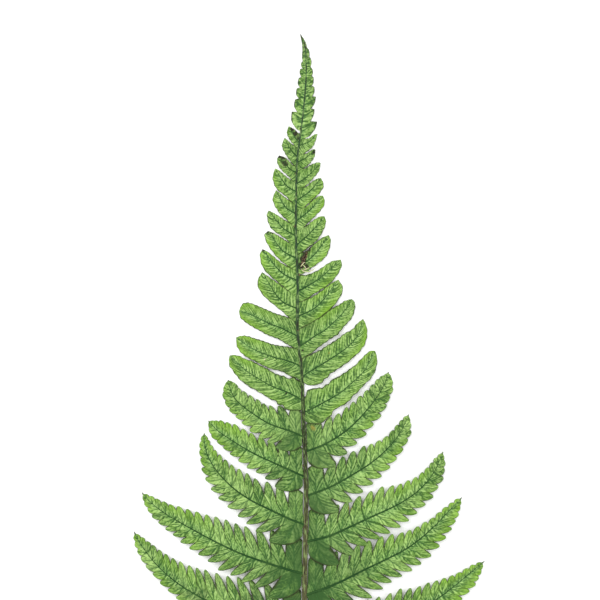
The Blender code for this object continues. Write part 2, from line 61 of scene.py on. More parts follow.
bl_info = {
    "name": "Fern Frond Looks",
    "version": (1, 0, 0),
    "blender": (4, 5, 0),
    "location": "View3D > Sidebar > Fern",
    "description": "Builds the fine blades, veins and stalk of a dried fern frond",
    "category": "Add Mesh",
}

BODY = "root"
NODE = "fern_frond"

# The grid of plan points, in metres a step, and how finely curves through them are drawn
GRID = 0.0004
GRID_MID_X = 309.0
GRID_MID_Y = 472.4
STEPS_TO_A_SPAN = 12

# Heights of the blades in metres, or as shares of a radius or a length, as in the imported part
TIP_CLEARANCE = 0.0003
LOBED_START = 0.95
SIMPLE_START = 0.80
LIFT_PER_LENGTH = 0.024
ARCH_POWER = 1.2
FALL_POWER = 1.6
IMBRICATE_SLOPE = 0.075
SLOPE_ENDS = 0.55
MARGIN_CURL = 3.0
SIMPLE_SLOPE = 0.00008
SIMPLE_DROOP = 0.00006
APEX_HEIGHT = 0.00034
APEX_SPINE_HEIGHT = 0.00040
APEX_BULGE = 0.00005

# Slow uneven waves over the dried frond: turn for a step to the right and down, start and share of each
WAVES = ((0.31, 0.12, 0.0, 1.0), (0.17, -0.36, 1.3, 0.7), (0.0, 0.53, 0.4, 0.5))
ALL_WAVES = 2.2

# The rule of the lobes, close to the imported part's: angles in degrees from the rib, and shares of a lobe's
# reach and breadth. Where values are given by side, 1 is the upper side of a pinna and -1 the lower one
STATIONS = (0.0, 0.1, 0.3, 0.5, 0.7, 0.85, 0.94, 1.0)
LAST_LOBE_END = 0.98
CROWDING = 0.30
REACH_AHEAD = 0.10
REACH_AHEAD_FADE = 0.7
NARROWING = (0.44, 0.0)
FULLER = 1.11
CUT_SHARE = {1.0: 0.97, -1.0: 1.08}
TIP_CUTS_FROM = 0.78
TIP_CUT_SHARE = 0.40
CUTS_SHALLOWER_FROM = 0.25
BESIDE_STALK = {1.0: 0.86, -1.0: 0.34}
BASE_BULGE = {1.0: 0.08, -1.0: 0.38}
WIDER_BASE = 0.19
WIDER_OUT_TO = 0.3
STALK_GAP = 0.35
ROOT_GAP = 0.5
LEAN_UPPER = 55.0
LEAN_LOWER = 57.0
LEAN_LOWER_BASE = 66.0
LEAN_TIP = 43.0
LEAN_SETTLES = 0.13
LEAN_MIDWAY = 0.6
LEAN_DRIFT = 2.0
LEAN_CLEAR_OF_STALK = 3.0
LOBE_FOOT = 0.42
LAST_CUT = (0.8, 0.4)
LOBE_LENGTH_DRAW = 0.035
LOBE_LEAN_DRAW = 0.12
LOBE_LIFT_DRAW = 0.00010

# How finely a lobe is drawn: rows out to the cuts, rows beyond them, and columns across it
INNER_ROWS = 9
OUTER_ROWS = 10
COLUMNS = np.array((-1.0, -0.86, -0.62, -0.32, 0.0, 0.32, 0.62, 0.86, 1.0))
MID_COLUMN = 4
FAN_STEPS = 4

# The free end of a lobe: how far its point leans out, and the power and roundness of its two edges
DEEPEST_CUT = 0.95
LEAST_FREE_REACH = 0.05
LOBE_POINT_SHIFT = {1.0: 0.44, -1.0: 0.72}
POINT_SHIFT_FADE = 4.5
BACK_ROUNDNESS = {1.0: (2.3, 0.58), -1.0: (2.2, 0.62)}
FRONT_ROUNDNESS = {1.0: (1.35, 0.60), -1.0: (1.35, 0.62)}
LOBE_LAST_ROW = 0.985
LOBE_POINT_BEND = 1.5
FREE_AT_ONCE = 3.0

# Relief of a lobe: how fast its bulge rises from the rib, the width of the furrow along its vein and of the
# trough along the rib, and the power that its margins bend down by
BULGE_RISE = 3.0
FURROW_WIDTH = 0.17
TROUGH_WIDTH = 0.07
CURL_POWER = 5

# Undivided pinnae: how finely they are drawn, their veins and their small teeth. Where values are given by
# False and True, they are for simple pinnae and for those with even margins
ROWS_TO_A_VEIN = 5
PLAIN_COLUMNS = np.array((0.0, 0.12, 0.27, 0.43, 0.6, 0.76, 0.87, 0.95, 1.0))
SIMPLE_VEINS = 7
EVEN_VEINS = 13
TOOTH_DEPTH = 0.30
PLAIN_WIDER = {False: 0.15, True: 0.30}
PLAIN_JOINED = {False: 2.2, True: 1.0}
PLAIN_JOINED_OUT_TO = 0.21
PLAIN_LEAN = {1.0: 0.10, -1.0: 0.20}
PLAIN_BEND = 1.25
PLAIN_FURROW = 0.6
PLAIN_RELIEF = (0.5, 0.3, 0.5)

# Dry rims: where they start on a blade, how fast they come up and, where it isn't 1, the most that they reach
LOBE_RIM = (0.7, 3.4)
CUT_RIM = (0.35, 1.4, 0.85)
STALK_RIM = (0.0, 2.0, 0.6)
PLAIN_RIM = (0.885, 9.0)

# Painted only: where a pinna turns fresher, how dark it is beside the stalk and how far out, and the fine
# veinlets, in degrees from a lobe's vein and in grid steps apart. RIB_STRIP is the reach and breadth that
# they are counted with along a rib
FRESH_FROM = 0.15
FRESH_OVER = 0.55
PLAIN_FRESH_AT = {False: 28.0, True: 60.0}
SIMPLE_SHADE = (0.30, 6.0)
EVEN_SHADE = (0.24, 24.0)
APEX_SHADE = (0.12, 0.10)
APEX_STREAKS = 4.0
VEINLET_ANGLE = 22.0
VEINLET_SPACING = 2.4
RIB_STRIP = (24.0, 5.0)

# Ribs and veins: points along each, how fast they taper, how far out they run, how high they are laid, in
# metres or in blade thicknesses, and their radii as shares of the values in the panel
TAPER_POWER = 1.2
LOBED_RIB_POINTS = 40
LOBED_RIB_END = 0.95
LOBED_RIB_LIFT = 0.00004
LOBED_RIB_LEAST = 0.45
LOBED_RIB_FULL_LENGTH = 330.0
LOBED_VEIN_LIFT = 0.5
LOBED_VEIN_TIP = 0.35
PLAIN_RIB_POINTS = 30
PLAIN_RIB_END = 0.96
PLAIN_RIB_LIFT = 0.00002
PLAIN_RIB_LEAST = 0.40
PLAIN_RIB_MORE = 0.25
PLAIN_RIB_FULL_LENGTH = 0.018
PLAIN_RIB_TIP = 0.8
PLAIN_VEIN_POINTS = 7
PLAIN_VEIN_END = 0.88
PLAIN_VEIN_LIFT = 0.4
PLAIN_VEIN_RADIUS = (0.7, 0.3)
PLAIN_VEINS_STOP = 0.95
TOOTH_VEIN_POINTS = 5
TOOTH_VEIN_END = 0.85
TOOTH_VEIN_LIFT = 0.00012
TOOTH_VEIN_RADIUS = (0.00008, 0.00004)

# The torn skin at the base of one pinna, and the pale shreds over it, as thick as a sine that is cut off by
# SHRED_ENDS
TORN_PATH = ((301.4, 268.6), (303, 263), (304.8, 257.6), (307.4, 252.2))
TORN_WIDTH = 1.9
TORN_HEIGHT = 0.00085
TORN_POINTS = 26
TORN_COLUMNS = 9
TORN_CUPPED = 0.00022
TORN_LUMPS = (0.00012, 0.00008)
SHRED_POINTS = 14
SHRED_RADIUS = 0.00022
SHRED_ENDS = (0.35, 0.2)
SHRED_LIFT = 0.0002
TORN_SHREDS = (
    ((300.6, 266.8), (302.4, 264.4), (304, 262.6), (306.4, 262.9)),
    ((302.4, 264.6), (304.4, 266.2), (306, 268.6)),
    ((301, 268.4), (304, 271.4), (309, 271.6), (313, 269.8), (316.4, 267.4)),
    ((303.4, 269.6), (306.4, 269), (309.6, 267.4)),
)

# The rachis, from the cut end of the stipe to the tip of the frond: x, y, radius in mm
RACHIS = (
    (313, 911, 1.5), (311, 880, 1.45), (308.5, 840, 1.4), (306.5, 800, 1.36), (305.5, 760, 1.32),
    (304.8, 710, 1.28), (304.5, 660, 1.24), (304.4, 620, 1.2), (304.5, 595, 1.17), (305.2, 550, 1.12),
    (306, 500, 1), (305, 455, 0.86), (303.3, 415, 0.8), (301.5, 370, 0.74), (297.5, 330, 0.68),
    (297.7, 285, 0.62), (296.2, 245, 0.58), (296, 205, 0.55), (297.2, 160, 0.52), (301, 130, 0.5),
    (304, 105, 0.48), (306.2, 75, 0.46), (305.6, 52, 0.44),
)

# The stalk is slimmer than the imported one: share of its radius, at heights on the grid. Its top has a groove
# between two ridges that carry a painted highlight, with their places and widths in radians from the top
STALK_WIDTH_AT = (40.0, 130.0, 200.0, 300.0, 430.0, 520.0, 600.0)
STALK_WIDTH = (0.50, 0.70, 0.82, 0.92, 0.98, 0.88, 0.88)
STALK_SIDES = 22
STALK_POINTS = 260
STALK_TIP_RADII = (0.34, 0.22, 0.08)
STALK_GROOVE_DEPTH = 0.20
STALK_GROOVE_WIDTH = 0.34
STALK_RIDGE_AT = 0.62
STALK_RIDGE_WIDTH = 0.16
FLAT_SHARE = 0.75
RAISED_WHERE_SLIM = 0.35
ABOVE_FLOOR = 0.00003
# Rings of the cut end: share of the stalk's width, how far sunk in metres, and how pale
CUT_RINGS = ((0.86, 0.0, 0.7), (0.5, 0.00025, 1.0))

# Dry scales on the stalk: sides and shape of one, and the lowest and highest draw of its step aside in
# metres, its turn in radians and its size
SCALE_PATH_POINTS = 120
SCALE_SIDES = 6
SCALE_SHAPE = (1.0, 0.3, 1.0)
SCALE_SEED = 7
SCALE_STEPS = ((-0.0007, -0.004, -0.0004), (0.0007, 0.004, 0.0))
SCALE_TURNS = ((1.2, -0.5, -0.9), (1.9, 0.5, 0.9))
SCALE_SIZES = (0.4, 1.25)

# The frond's apex. For each tooth, from the tip of the frond down: its point, the bulge of its outer edge and
# the notch below it
APEX_TIP = (300, 33.5)
APEX_SPINE = ((302.6, 40), (304.6, 46))
APEX_RACHIS_POINTS = 6
APEX_COLUMNS = np.array((0.25, 0.5, 0.7, 0.86, 1.0))
APEX_WIDER = 0.15
TOOTH_RISE_STEPS = 3
TOOTH_FALL_STEPS = 7
TOOTH_FOOT_DROP = 0.45
TOOTH_VEIN_FOOT = 0.45
APEX_LEFT = (
    ((301, 38), (302, 43), (302.6, 50)),
    ((302.2, 54), (302.2, 58), (303, 61)),
    ((301.2, 63), (301.4, 66), (302.8, 68.5)),
    ((300.2, 69), (299.8, 73), (301.4, 77)),
    ((298.8, 78), (297.8, 83.5), (300.2, 87.5)),
    ((296.8, 88.5), (296.2, 94), (298.8, 98.5)),
    ((295.2, 99.5), (294.2, 106), (297.4, 112)),
    ((291.8, 111.5), (291.6, 121), (296.8, 129.2)),
)
APEX_RIGHT = (
    ((303.2, 38), (305.6, 42.5), (306.8, 47.5)),
    ((308.4, 49), (309.4, 53), (309.2, 57)),
    ((310.8, 58.5), (311.4, 62.5), (310.4, 67)),
    ((312, 68.5), (312.8, 72.5), (311.6, 76)),
    ((313.4, 77), (313.4, 82.5), (311.4, 86)),
    ((314, 86.5), (314.4, 91.5), (312, 96.5)),
    ((315.8, 96.5), (314.6, 103), (311, 108.8)),
    ((314.4, 109), (313.6, 115), (310.4, 121.2)),
    ((317, 121.5), (315.2, 128.5), (309.4, 136.2)),
)

# Simple pinnae from the apex down: the rib from the rachis to the tip, then the upper and the lower edge from
# the rachis to just short of the tip
SIMPLE_LEFT = (
    (
        ((299.4, 143), (294.5, 136.5), (288.7, 126)),
        ((300.2, 136.5), (298, 133.8), (295.5, 130.2), (292, 127.8)),
        ((298.8, 148), (291.4, 141.6), (288.4, 137), (287, 132)),
    ),
    (
        ((297.6, 157), (291, 150), (284.7, 137.5)),
        ((298.4, 149.6), (294, 145.8), (290.4, 143), (287.5, 140)),
        ((297, 166.2), (290, 160), (285, 153), (282, 145.5)),
    ),
    (
        ((297, 173), (289, 168), (279, 155.3)),
        ((297.2, 168.4), (293.3, 166), (288, 160), (284, 157)),
        ((296.8, 183), (287.3, 175), (280, 168), (277, 160.5)),
    ),
    (
        ((296.8, 192), (286, 185), (275, 168.3)),
        ((296.8, 184.8), (286.6, 177), (282, 173), (278.5, 170)),
        ((296.4, 204.6), (286, 196), (276.6, 188.5), (272.8, 178)),
    ),
    (
        ((296.2, 214), (285, 206.5), (276, 190)),
        ((296.4, 206.6), (286, 198.2), (282, 195), (279, 192.3)),
        ((296, 226.4), (286, 218.8), (278, 211), (272.8, 199.5)),
    ),
    (
        ((296, 236), (283, 228), (268.5, 210.3)),
        ((295.9, 228.4), (286, 221), (280, 217), (273.5, 212.8)),
        ((296.2, 246.6), (286, 238.6), (271.5, 228.5), (267, 216.5)),
    ),
    (
        ((296.8, 258.5), (282, 250), (268, 230.8)),
        ((296.6, 248.8), (286, 240.8), (278.5, 236), (273, 232.8)),
        ((297.4, 270.6), (281, 260.6), (270, 248), (264.5, 236)),
    ),
    (
        ((297.6, 280.5), (281, 272), (262.5, 249)),
        ((297.6, 272.8), (281, 262.8), (274, 257), (268, 252)),
        ((297.8, 297), (283, 286.2), (265, 270.5), (260, 256.5)),
    ),
    (
        ((297.7, 309), (280, 299.5), (262, 272)),
        ((297.8, 299.2), (288, 290.6), (277.5, 283), (269, 277)),
        ((297.6, 321.6), (285, 313), (264, 296), (257.5, 283)),
    ),
)
SIMPLE_RIGHT = (
    (
        ((299.2, 145.5), (309, 141.5), (317.5, 133.6)),
        ((300.4, 139.8), (308.8, 138.2), (312.2, 136), (315, 134.2)),
        ((298.4, 154), (307, 151.2), (312.5, 146.8), (315.6, 140.5)),
    ),
    (
        ((298, 162), (307, 157), (315.4, 149.2)),
        ((298.4, 155.8), (306.8, 153.2), (311, 150.4), (313.4, 149.2)),
        ((297.4, 168.8), (305, 166.8), (310.5, 162.5), (314.4, 156.5)),
    ),
    (
        ((297.2, 183.5), (309, 175), (320.7, 162.8)),
        ((297.2, 170.5), (305, 168.6), (311, 164.8), (317.5, 162.3)),
        ((297, 187), (305.6, 185.2), (311.5, 180), (318.8, 171)),
    ),
    (
        ((296.6, 200.5), (310, 191), (321, 178)),
        ((297, 188.8), (305.4, 187.2), (311.8, 182), (317.5, 178.6)),
        ((296.5, 209), (305, 205.6), (318.5, 194), (323.6, 185.5)),
    ),
    (
        ((296.3, 221), (310, 210), (323, 195.5)),
        ((296.4, 210.8), (305.4, 207.4), (313, 200), (319, 196.2)),
        ((296.2, 229), (304.4, 225.6), (319.5, 211.5), (324.6, 203)),
    ),
    (
        ((296.8, 245), (311, 232), (324.5, 216.2)),
        ((296.2, 230.8), (304.6, 227.4), (312.5, 221), (320, 216.6)),
        ((297, 253), (312.5, 244.4), (321, 234.5), (325.8, 223)),
    ),
    (
        ((297.6, 268), (314, 255), (329, 235)),
        ((297.2, 255.2), (305, 252.2), (315, 243.6), (323, 237.4)),
        ((297.9, 273), (308, 269.5), (325, 257.5), (330.6, 243)),
    ),
    (
        ((297.8, 291.5), (318, 279.5), (341, 259.5)),
        ((297.8, 277), (306, 276.2), (318.5, 270), (331, 261.8)),
        ((297.8, 300.6), (307, 297.5), (330, 283.4), (341, 268)),
    ),
    (
        ((298, 316.5), (318, 305.5), (338.5, 279.5)),
        ((297.8, 302.8), (306, 300.4), (318.5, 293), (331, 283.6)),
        ((298.4, 327), (317, 319), (334, 305.5), (342.8, 290)),
    ),
)

# Larger pinnae with nearly even margins, grown onto the rachis with their whole base, in the same order
EVEN_LEFT = (
    (
        ((297.3, 336), (290, 332.5), (280, 327.5), (270, 323.8), (260, 319), (250, 314.4), (239, 311)),
        ((295.5, 319.5), (292, 319.4), (285, 317), (280, 315.2), (275, 313.5), (270, 311.3), (265, 309.2),
         (260, 307), (252, 303.8), (247, 302.8), (242.5, 304.2)),
        ((298, 348), (293, 346.6), (290, 345), (285, 342.5), (280, 339.5), (275, 337.5), (270, 335.8),
         (265, 333.5), (260, 330.5), (255, 328), (250, 325), (245, 321.5), (240.6, 317.4)),
    ),
    (
        ((300.6, 366.5), (295, 363.5), (285, 360), (275, 357.6), (265, 354.2), (255, 350), (245, 344),
         (236.2, 337.4)),
        ((298.8, 348.6), (292, 348.5), (287, 347.2), (282, 346.5), (277, 345.5), (272, 344.5), (268, 343),
         (263, 341.2), (258, 339.6), (253, 338.2), (249, 336.7), (244, 336), (240, 336.3)),
        ((301.4, 380.5), (295, 376.6), (291, 375.8), (288, 374.2), (285, 372.5), (280, 370.5), (275, 369.5),
         (270, 368.3), (265, 366), (260, 363.8), (255, 361), (250, 358.8), (245, 355.8), (240, 351),
         (236.8, 345)),
    ),
    (
        ((302.8, 401), (295, 396), (285, 391.2), (275, 387.6), (265, 382.5), (255, 376.5), (245, 370),
         (236, 361.5), (229.6, 355.6)),
        ((301.4, 382.4), (298, 381.4), (295, 379), (292, 378), (289.6, 379.6), (287, 378.4), (284, 376.5),
         (281, 375.8), (277, 374.5), (273, 372.5), (270, 370.5), (266, 368.2), (262, 366.5), (257, 364),
         (252, 361.2), (247, 359.8), (244, 358.8), (241, 357), (237, 355.7), (233, 355.2)),
        ((302.4, 409.2), (292, 409.2), (285.4, 408.9), (283.6, 405), (280, 404.9), (277.4, 403.4),
         (276, 400.8), (270, 398.8), (266, 396), (262, 393.5), (258, 391.5), (255, 389.5), (249.4, 387),
         (247, 384.8), (241, 380.5), (238, 377), (235, 373.5), (232.6, 369.8), (229.8, 366), (229, 361)),
    ),
)
EVEN_RIGHT = (
    (
        ((300, 345.5), (305, 343), (315, 336), (325, 330), (335, 321), (345, 310.4), (352, 299)),
        ((299, 329), (306, 325.4), (312, 321.8), (320, 318), (326, 313), (330, 310.3), (335, 307),
         (340, 304.5), (344, 301.5), (348, 300)),
        ((301.2, 357.6), (304, 356.4), (308, 354), (311.5, 352.4), (315, 349.5), (320, 346), (325, 342.5),
         (330, 339), (335, 336), (338, 334), (341, 330), (345, 325.3), (350, 320), (353, 315), (354.8, 308),
         (354.6, 302.4)),
    ),
    (
        ((302, 377), (310, 371.5), (320, 365.5), (330, 359.3), (340, 352.6), (350, 344.8), (359, 333),
         (363, 318.8)),
        ((301.2, 358.6), (304, 358), (308, 356.5), (312.5, 354.5), (317, 352), (322, 349.5), (325, 347),
         (330, 344), (335, 340.8), (340, 337.5), (345, 333.5), (350, 331), (353.5, 328.7), (356.5, 324.6),
         (360, 321.4)),
        ((302.6, 381), (305.5, 382.8), (309, 384.3), (314, 384.4), (319, 383.5), (322, 382), (324, 379.2),
         (328, 376.6), (330, 373.7), (335, 370.8), (340, 367.5), (345, 364), (350, 360.5), (353, 357.2),
         (358, 353.4), (362, 348), (365, 343.5), (367, 334), (365.8, 324.6)),
    ),
    (
        ((303.6, 412.6), (308, 410.6), (320, 404.4), (330, 399), (340, 393), (350, 384.5), (360, 375.5),
         (367, 366.4), (375, 350.8)),
        ((303.2, 400), (306, 397), (306.6, 394), (307.8, 391.4), (310, 390), (315, 389), (320, 388),
         (321.6, 388.6), (326, 384.9), (328.5, 384.2), (331, 381), (334.5, 378.2), (336.4, 378),
         (342, 374.5), (346, 372), (350, 369.2), (353, 366.6), (355, 366.2), (358, 362.5), (363, 357.5),
         (366, 354.5), (369, 351.9), (372, 350.9)),
        ((303.6, 418.6), (306, 420.6), (309, 422.4), (315, 423.2), (321, 422.8), (324.5, 420), (328, 417.2),
         (331.6, 414.6), (332.6, 411.6), (336, 408.4), (340, 406.5), (345, 404), (347.4, 402), (350, 400),
         (352.4, 396.2), (356, 393.5), (358.4, 391), (364, 384.7), (367, 382), (370, 379), (375, 371),
         (377, 361), (376.2, 354.6)),
    ),
)

# Seeds of the blades: the first one by side for the simple, the even and the lobed pinnae
SEEDS = {"left": (10, 30, 100), "right": (40, 60, 150)}
APEX_SEED = 3.0
TORN_SEED = 5.0

# Lobed pinnae from the apex down: rib points from the rachis out, half widths above and then below the rib at
# STATIONS[1:6], lobes to a side, and depth of the cuts at the base and near the tip as a share of the width
LOBED_LEFT = (
    (
        ((304, 437), (290, 431), (270, 424), (255, 415), (238, 402), (231, 391), (228, 379.5)),
        (18.5, 16.5, 14, 12, 8.6),
        (18.5, 15.6, 14, 11.6, 8),
        11, 0.42, 0.08,
    ),
    (
        ((305, 477), (290, 470), (270, 461), (255, 454), (236, 443), (218, 431), (208, 420.5)),
        (21, 16.6, 16.6, 14.6, 9.6),
        (20, 15.8, 14, 11.4, 8),
        11, 0.5, 0.11,
    ),
    (
        ((305.6, 525), (290, 519), (270, 509.5), (250, 499.5), (230, 485), (214, 467), (205.5, 449),
         (204, 432.5)),
        (25, 20, 19, 14, 8),
        (24.5, 20.5, 17.5, 13.6, 7),
        13, 0.58, 0.2,
    ),
    (
        ((304.8, 574), (288, 569.5), (262, 561), (238, 552), (213, 540), (185, 525), (163, 512), (147, 499),
         (141.5, 492)),
        (27, 25, 23, 15.5, 9),
        (25.5, 22.8, 20.2, 15, 10),
        16, 0.62, 0.22,
    ),
    (
        ((304.4, 628), (280, 623.5), (252, 616), (226, 607.5), (203, 598), (178, 583), (158, 566),
         (141, 545), (133.5, 531)),
        (30, 29.5, 26, 18, 10.5),
        (26, 23, 17, 11.5, 8.5),
        17, 0.64, 0.22,
    ),
    (
        ((304.6, 686), (275, 681), (240, 672), (205, 659), (170, 641), (143, 621), (124, 600)),
        (30, 29, 26, 18.5, 11),
        (28, 26, 21, 14.5, 9.5),
        17, 0.64, 0.22,
    ),
    (
        ((305.4, 748), (275, 745.5), (240, 740), (205, 731), (172, 718), (146, 703), (129, 688)),
        (28, 27, 24, 17.5, 10.5),
        (27, 25, 20, 14, 9),
        16, 0.64, 0.22,
    ),
)
LOBED_RIGHT = (
    (
        ((304.8, 452), (325, 444), (345, 431.5), (362, 415.5), (377, 397), (386, 381), (388.5, 371.5)),
        (21.5, 18, 16.4, 13, 8.6),
        (20, 15.8, 14.4, 13.4, 9),
        11, 0.46, 0.08,
    ),
    (
        ((306, 496), (330, 487), (350, 476), (370, 463.5), (387, 449), (400, 433), (409, 414)),
        (21, 18.6, 17.8, 10.8, 6.6),
        (22, 18.2, 16.6, 13, 9),
        12, 0.54, 0.13,
    ),
    (
        ((305.4, 542), (330, 535.5), (352, 525.5), (377, 514), (400, 503), (420, 489), (434, 472),
         (443.5, 451)),
        (25, 21, 21, 13.4, 8.4),
        (24.5, 22.4, 20.2, 14.6, 10.4),
        15, 0.6, 0.2,
    ),
    (
        ((304.5, 595.5), (335, 584), (365, 569), (390, 557), (410, 546), (430, 530), (450, 510),
         (462.5, 497)),
        (27, 24, 20, 11.8, 5.8),
        (26, 24, 21.6, 17.6, 12),
        16, 0.62, 0.22,
    ),
    (
        ((304.4, 650), (330, 645), (360, 636), (390, 624), (420, 609), (445, 593), (466, 576.5), (485, 561)),
        (29, 27.5, 26, 17, 7.6),
        (27, 25, 21, 16.6, 13),
        17, 0.64, 0.22,
    ),
    (
        ((304.8, 710), (335, 704), (370, 694), (405, 680), (440, 661), (470, 640), (494, 619)),
        (30, 28.5, 26, 18, 10),
        (28, 26, 21.5, 15.5, 10.5),
        17, 0.64, 0.22,
    ),
    (
        ((305.9, 774), (335, 771), (370, 764), (405, 754), (438, 740), (466, 723), (487, 706)),
        (28, 27, 24, 17.5, 10),
        (27, 25, 20, 14.5, 9.5),
        16, 0.64, 0.22,
    ),
)

# Marks on the leaf, in grid points: x, y, radius. Blight is nearly black, rust is orange yellow, pale spots
# are cream, and the large dull patches have dried darker
BLIGHT_SPOTS = (
    (300.2, 34.6, 2.6), (302.2, 38.5, 1.9), (304, 43.5, 1.5), (305.4, 46.8, 1.4), (292.5, 129.5, 2.6),
    (295, 133.5, 3.4), (298, 138, 2.4), (283, 158, 3), (285, 163.5, 4), (279.5, 156.5, 1.8),
    (272.5, 232.5, 1.8), (266.8, 231.2, 2.4), (262.8, 250, 2.2), (314.2, 152, 2.6), (301, 265.5, 4),
    (302.5, 259.5, 4), (305, 254.5, 3.6), (308, 249.5, 3.2), (310.5, 246, 1.8), (306.5, 266.5, 3.4),
    (291.8, 111.5, 1.4), (314.4, 109.2, 1.4), (286, 393.5, 1.6), (302.5, 350, 1.4),
)
RUST_SPOTS = ((313, 428, 3.4), (350, 508, 2.6), (329, 353, 1.6))
PALE_SPOTS = ((312.5, 338.5, 1.1), (264.5, 359, 0.9), (310.5, 284, 0.8))
DULL_PATCHES = (
    (300.6, 35, 9), (303.6, 45, 9), (305, 56, 6), (300, 545, 14), (285, 545, 10), (318, 508, 13),
    (326, 562, 14), (288, 447, 12), (284, 370, 8), (284, 407, 8), (318, 420, 9), (320, 466, 10),
    (310, 322, 10), (312, 246, 5), (200, 592, 26), (245, 610, 26), (350, 590, 22), (288, 595, 14),
)
MARKS = {"blight": BLIGHT_SPOTS, "rust": RUST_SPOTS, "bleach": PALE_SPOTS, "dull": DULL_PATCHES}
MARK_EDGE = 1.35

# How much darker the lobed pinnae are beside the rachis, and how far out, at heights on the grid
SHADE_AT = (400, 435, 505, 570, 620)
SHADE = (0.22, 0.36, 0.43, 0.76, 0.78)
SHADE_WIDTH = (16, 22, 28, 48, 60)
# The lobes next to the rachis get extra painted shade: share by which the first ones of a row are darkened
FIRST_LOBES_DARKER = {1.0: (0.14, 0.0), -1.0: (0.34, 0.16)}

# The stage: the view covers a square of the grid, the lamps have a place and a size in metres, and all aim at
# one point
FLOOR_HALF = 3.0
FLOOR_HEIGHT = -0.00002
VIEW_CENTRE = (300.0, 300.0)
VIEW_WIDTH = 600.0
CAMERA_EXTRA = 0.001
KEY_LAMP = ((-0.75, 0.55, 1.1), 1.0)
FILL_LAMP = ((0.9, -0.2, 1.0), 1.2)
LAMPS_AIM = (0.0, 0.05, 0.0)


def length_property(name, description, default):
    return bpy.props.FloatProperty(
        name=name, description=description, default=default, unit="LENGTH", precision=5
    )


def count_property(name, description, default, least, most):
    return bpy.props.IntProperty(name=name, description=description, default=default, min=least, max=most)


def strength_property(name, description, default, most, **kind):
    return bpy.props.FloatProperty(
        name=name, description=description, default=default, min=0.0, max=most, **kind
    )


def colour_property(name, description, default):
    return bpy.props.FloatVectorProperty(
        name=name, description=description, default=default, subtype="COLOR", size=3, min=0.0, max=1.0
    )


class FrondShape(bpy.types.PropertyGroup):
    """Thickness and relief of the blades, ribs, veins and scales."""

    blade_thickness: length_property("Blade Thickness", "Thickness of the leaf blades", 0.00026)
    dome: length_property("Dome", "How far a lobe bulges between its margins", 0.00016)
    groove: length_property("Groove", "Depth of the furrow along a lobe's vein", 0.00012)
    curl: length_property("Curl", "How far the free margins bend down", 0.00016)
    wave: length_property("Wave", "Unevenness of the dried blades", 0.00016)
    rib_base: length_property("Rib Base", "Radius of a long pinna's rib at the stalk", 0.00048)
    rib_tip: length_property("Rib Tip", "Radius of a rib at the pinna's tip", 0.00011)
    vein_base: length_property("Vein Base", "Radius of a lobe's vein at the rib", 0.00007)
    tube_sides: count_property("Tube Sides", "Sides of the ribs and veins", 6, 4, 16)
    scale_count: count_property("Scales", "Small dry scales on the stalk", 90, 0, 400)
    scale_length: length_property("Scale Length", "Length of a dry scale", 0.0011)
    scale_width: length_property("Scale Width", "Half the width of a dry scale", 0.00022)


class FrondColours(bpy.types.PropertyGroup):
    """Colours of the dried leaf, linear."""

    # Light Green is also the painted highlight of the light streaks
    light: colour_property("Light Green", "Flesh between the veinlets", (0.345, 0.510, 0.165))
    middle: colour_property("Middle Green", "Most of the blade", (0.142, 0.270, 0.053))
    # Deep Green is also the painted shade of the dark streaks and of the blade beside the stalk
    deep: colour_property("Deep Green", "Veinlets, and the blade near the stalk", (0.029, 0.082, 0.018))
    fresh: colour_property("Fresh Green", "Patches that kept most of their colour", (0.190, 0.375, 0.025))
    # painted sheen: the paler, bluer green laid along the ribs
    rib_sheen: colour_property("Cool Green", "Bluer flesh along the ribs", (0.120, 0.300, 0.090))
    dull: colour_property("Dull Green", "Patches that dried brown and dark", (0.060, 0.088, 0.032))
    rib: colour_property("Rib Green", "Ribs of the pinnae", (0.011, 0.050, 0.010))
    vein: colour_property("Vein Green", "Veins of the lobes", (0.042, 0.130, 0.034))
    margin: colour_property("Margin", "Thin dry edge of the blade", (0.022, 0.030, 0.009))
    blight: colour_property("Blight", "Nearly black dead patches", (0.018, 0.014, 0.010))
    rust: colour_property("Rust", "Dull orange yellow spots", (0.280, 0.210, 0.035))
    stalk_top: colour_property("Stalk Top", "Rachis in the upper half", (0.016, 0.052, 0.022))
    stalk_middle: colour_property("Stalk Middle", "Rachis half way down", (0.016, 0.031, 0.008))
    stalk_low: colour_property("Stalk Low", "Rachis between the long pinnae", (0.060, 0.064, 0.024))
    stalk_base: colour_property("Stalk Base", "Bare stipe", (0.200, 0.130, 0.070))
    pith: colour_property("Pith", "The cut end and pale shreds", (0.560, 0.500, 0.330))
    torn: colour_property("Torn", "Dead skin at a torn base", (0.150, 0.095, 0.052))


class FrondStage(bpy.types.PropertyGroup):
    """Floor, light and camera."""

    floor: colour_property("Floor", "Plain white floor", (0.94, 0.94, 0.94))
    world_light: strength_property("World Light", "Strength of the light from all round", 1.02, 5.0)
    key_light: strength_property("Key Light", "Power of the lamp on the left", 11.0, 100.0, subtype="POWER")
    fill_light: strength_property("Fill Light", "Power of the lamp on the right", 6.0, 100.0, subtype="POWER")
    lens: bpy.props.FloatProperty(
        name="Lens", description="Focal length", default=150.0, min=20.0, max=400.0, unit="CAMERA"
    )


def plan(points):
    """Points of the grid, in metres."""
    points = np.asarray(points, float)
    return np.stack([(points[..., 0] - GRID_MID_X) * GRID, (GRID_MID_Y - points[..., 1]) * GRID], axis=-1)


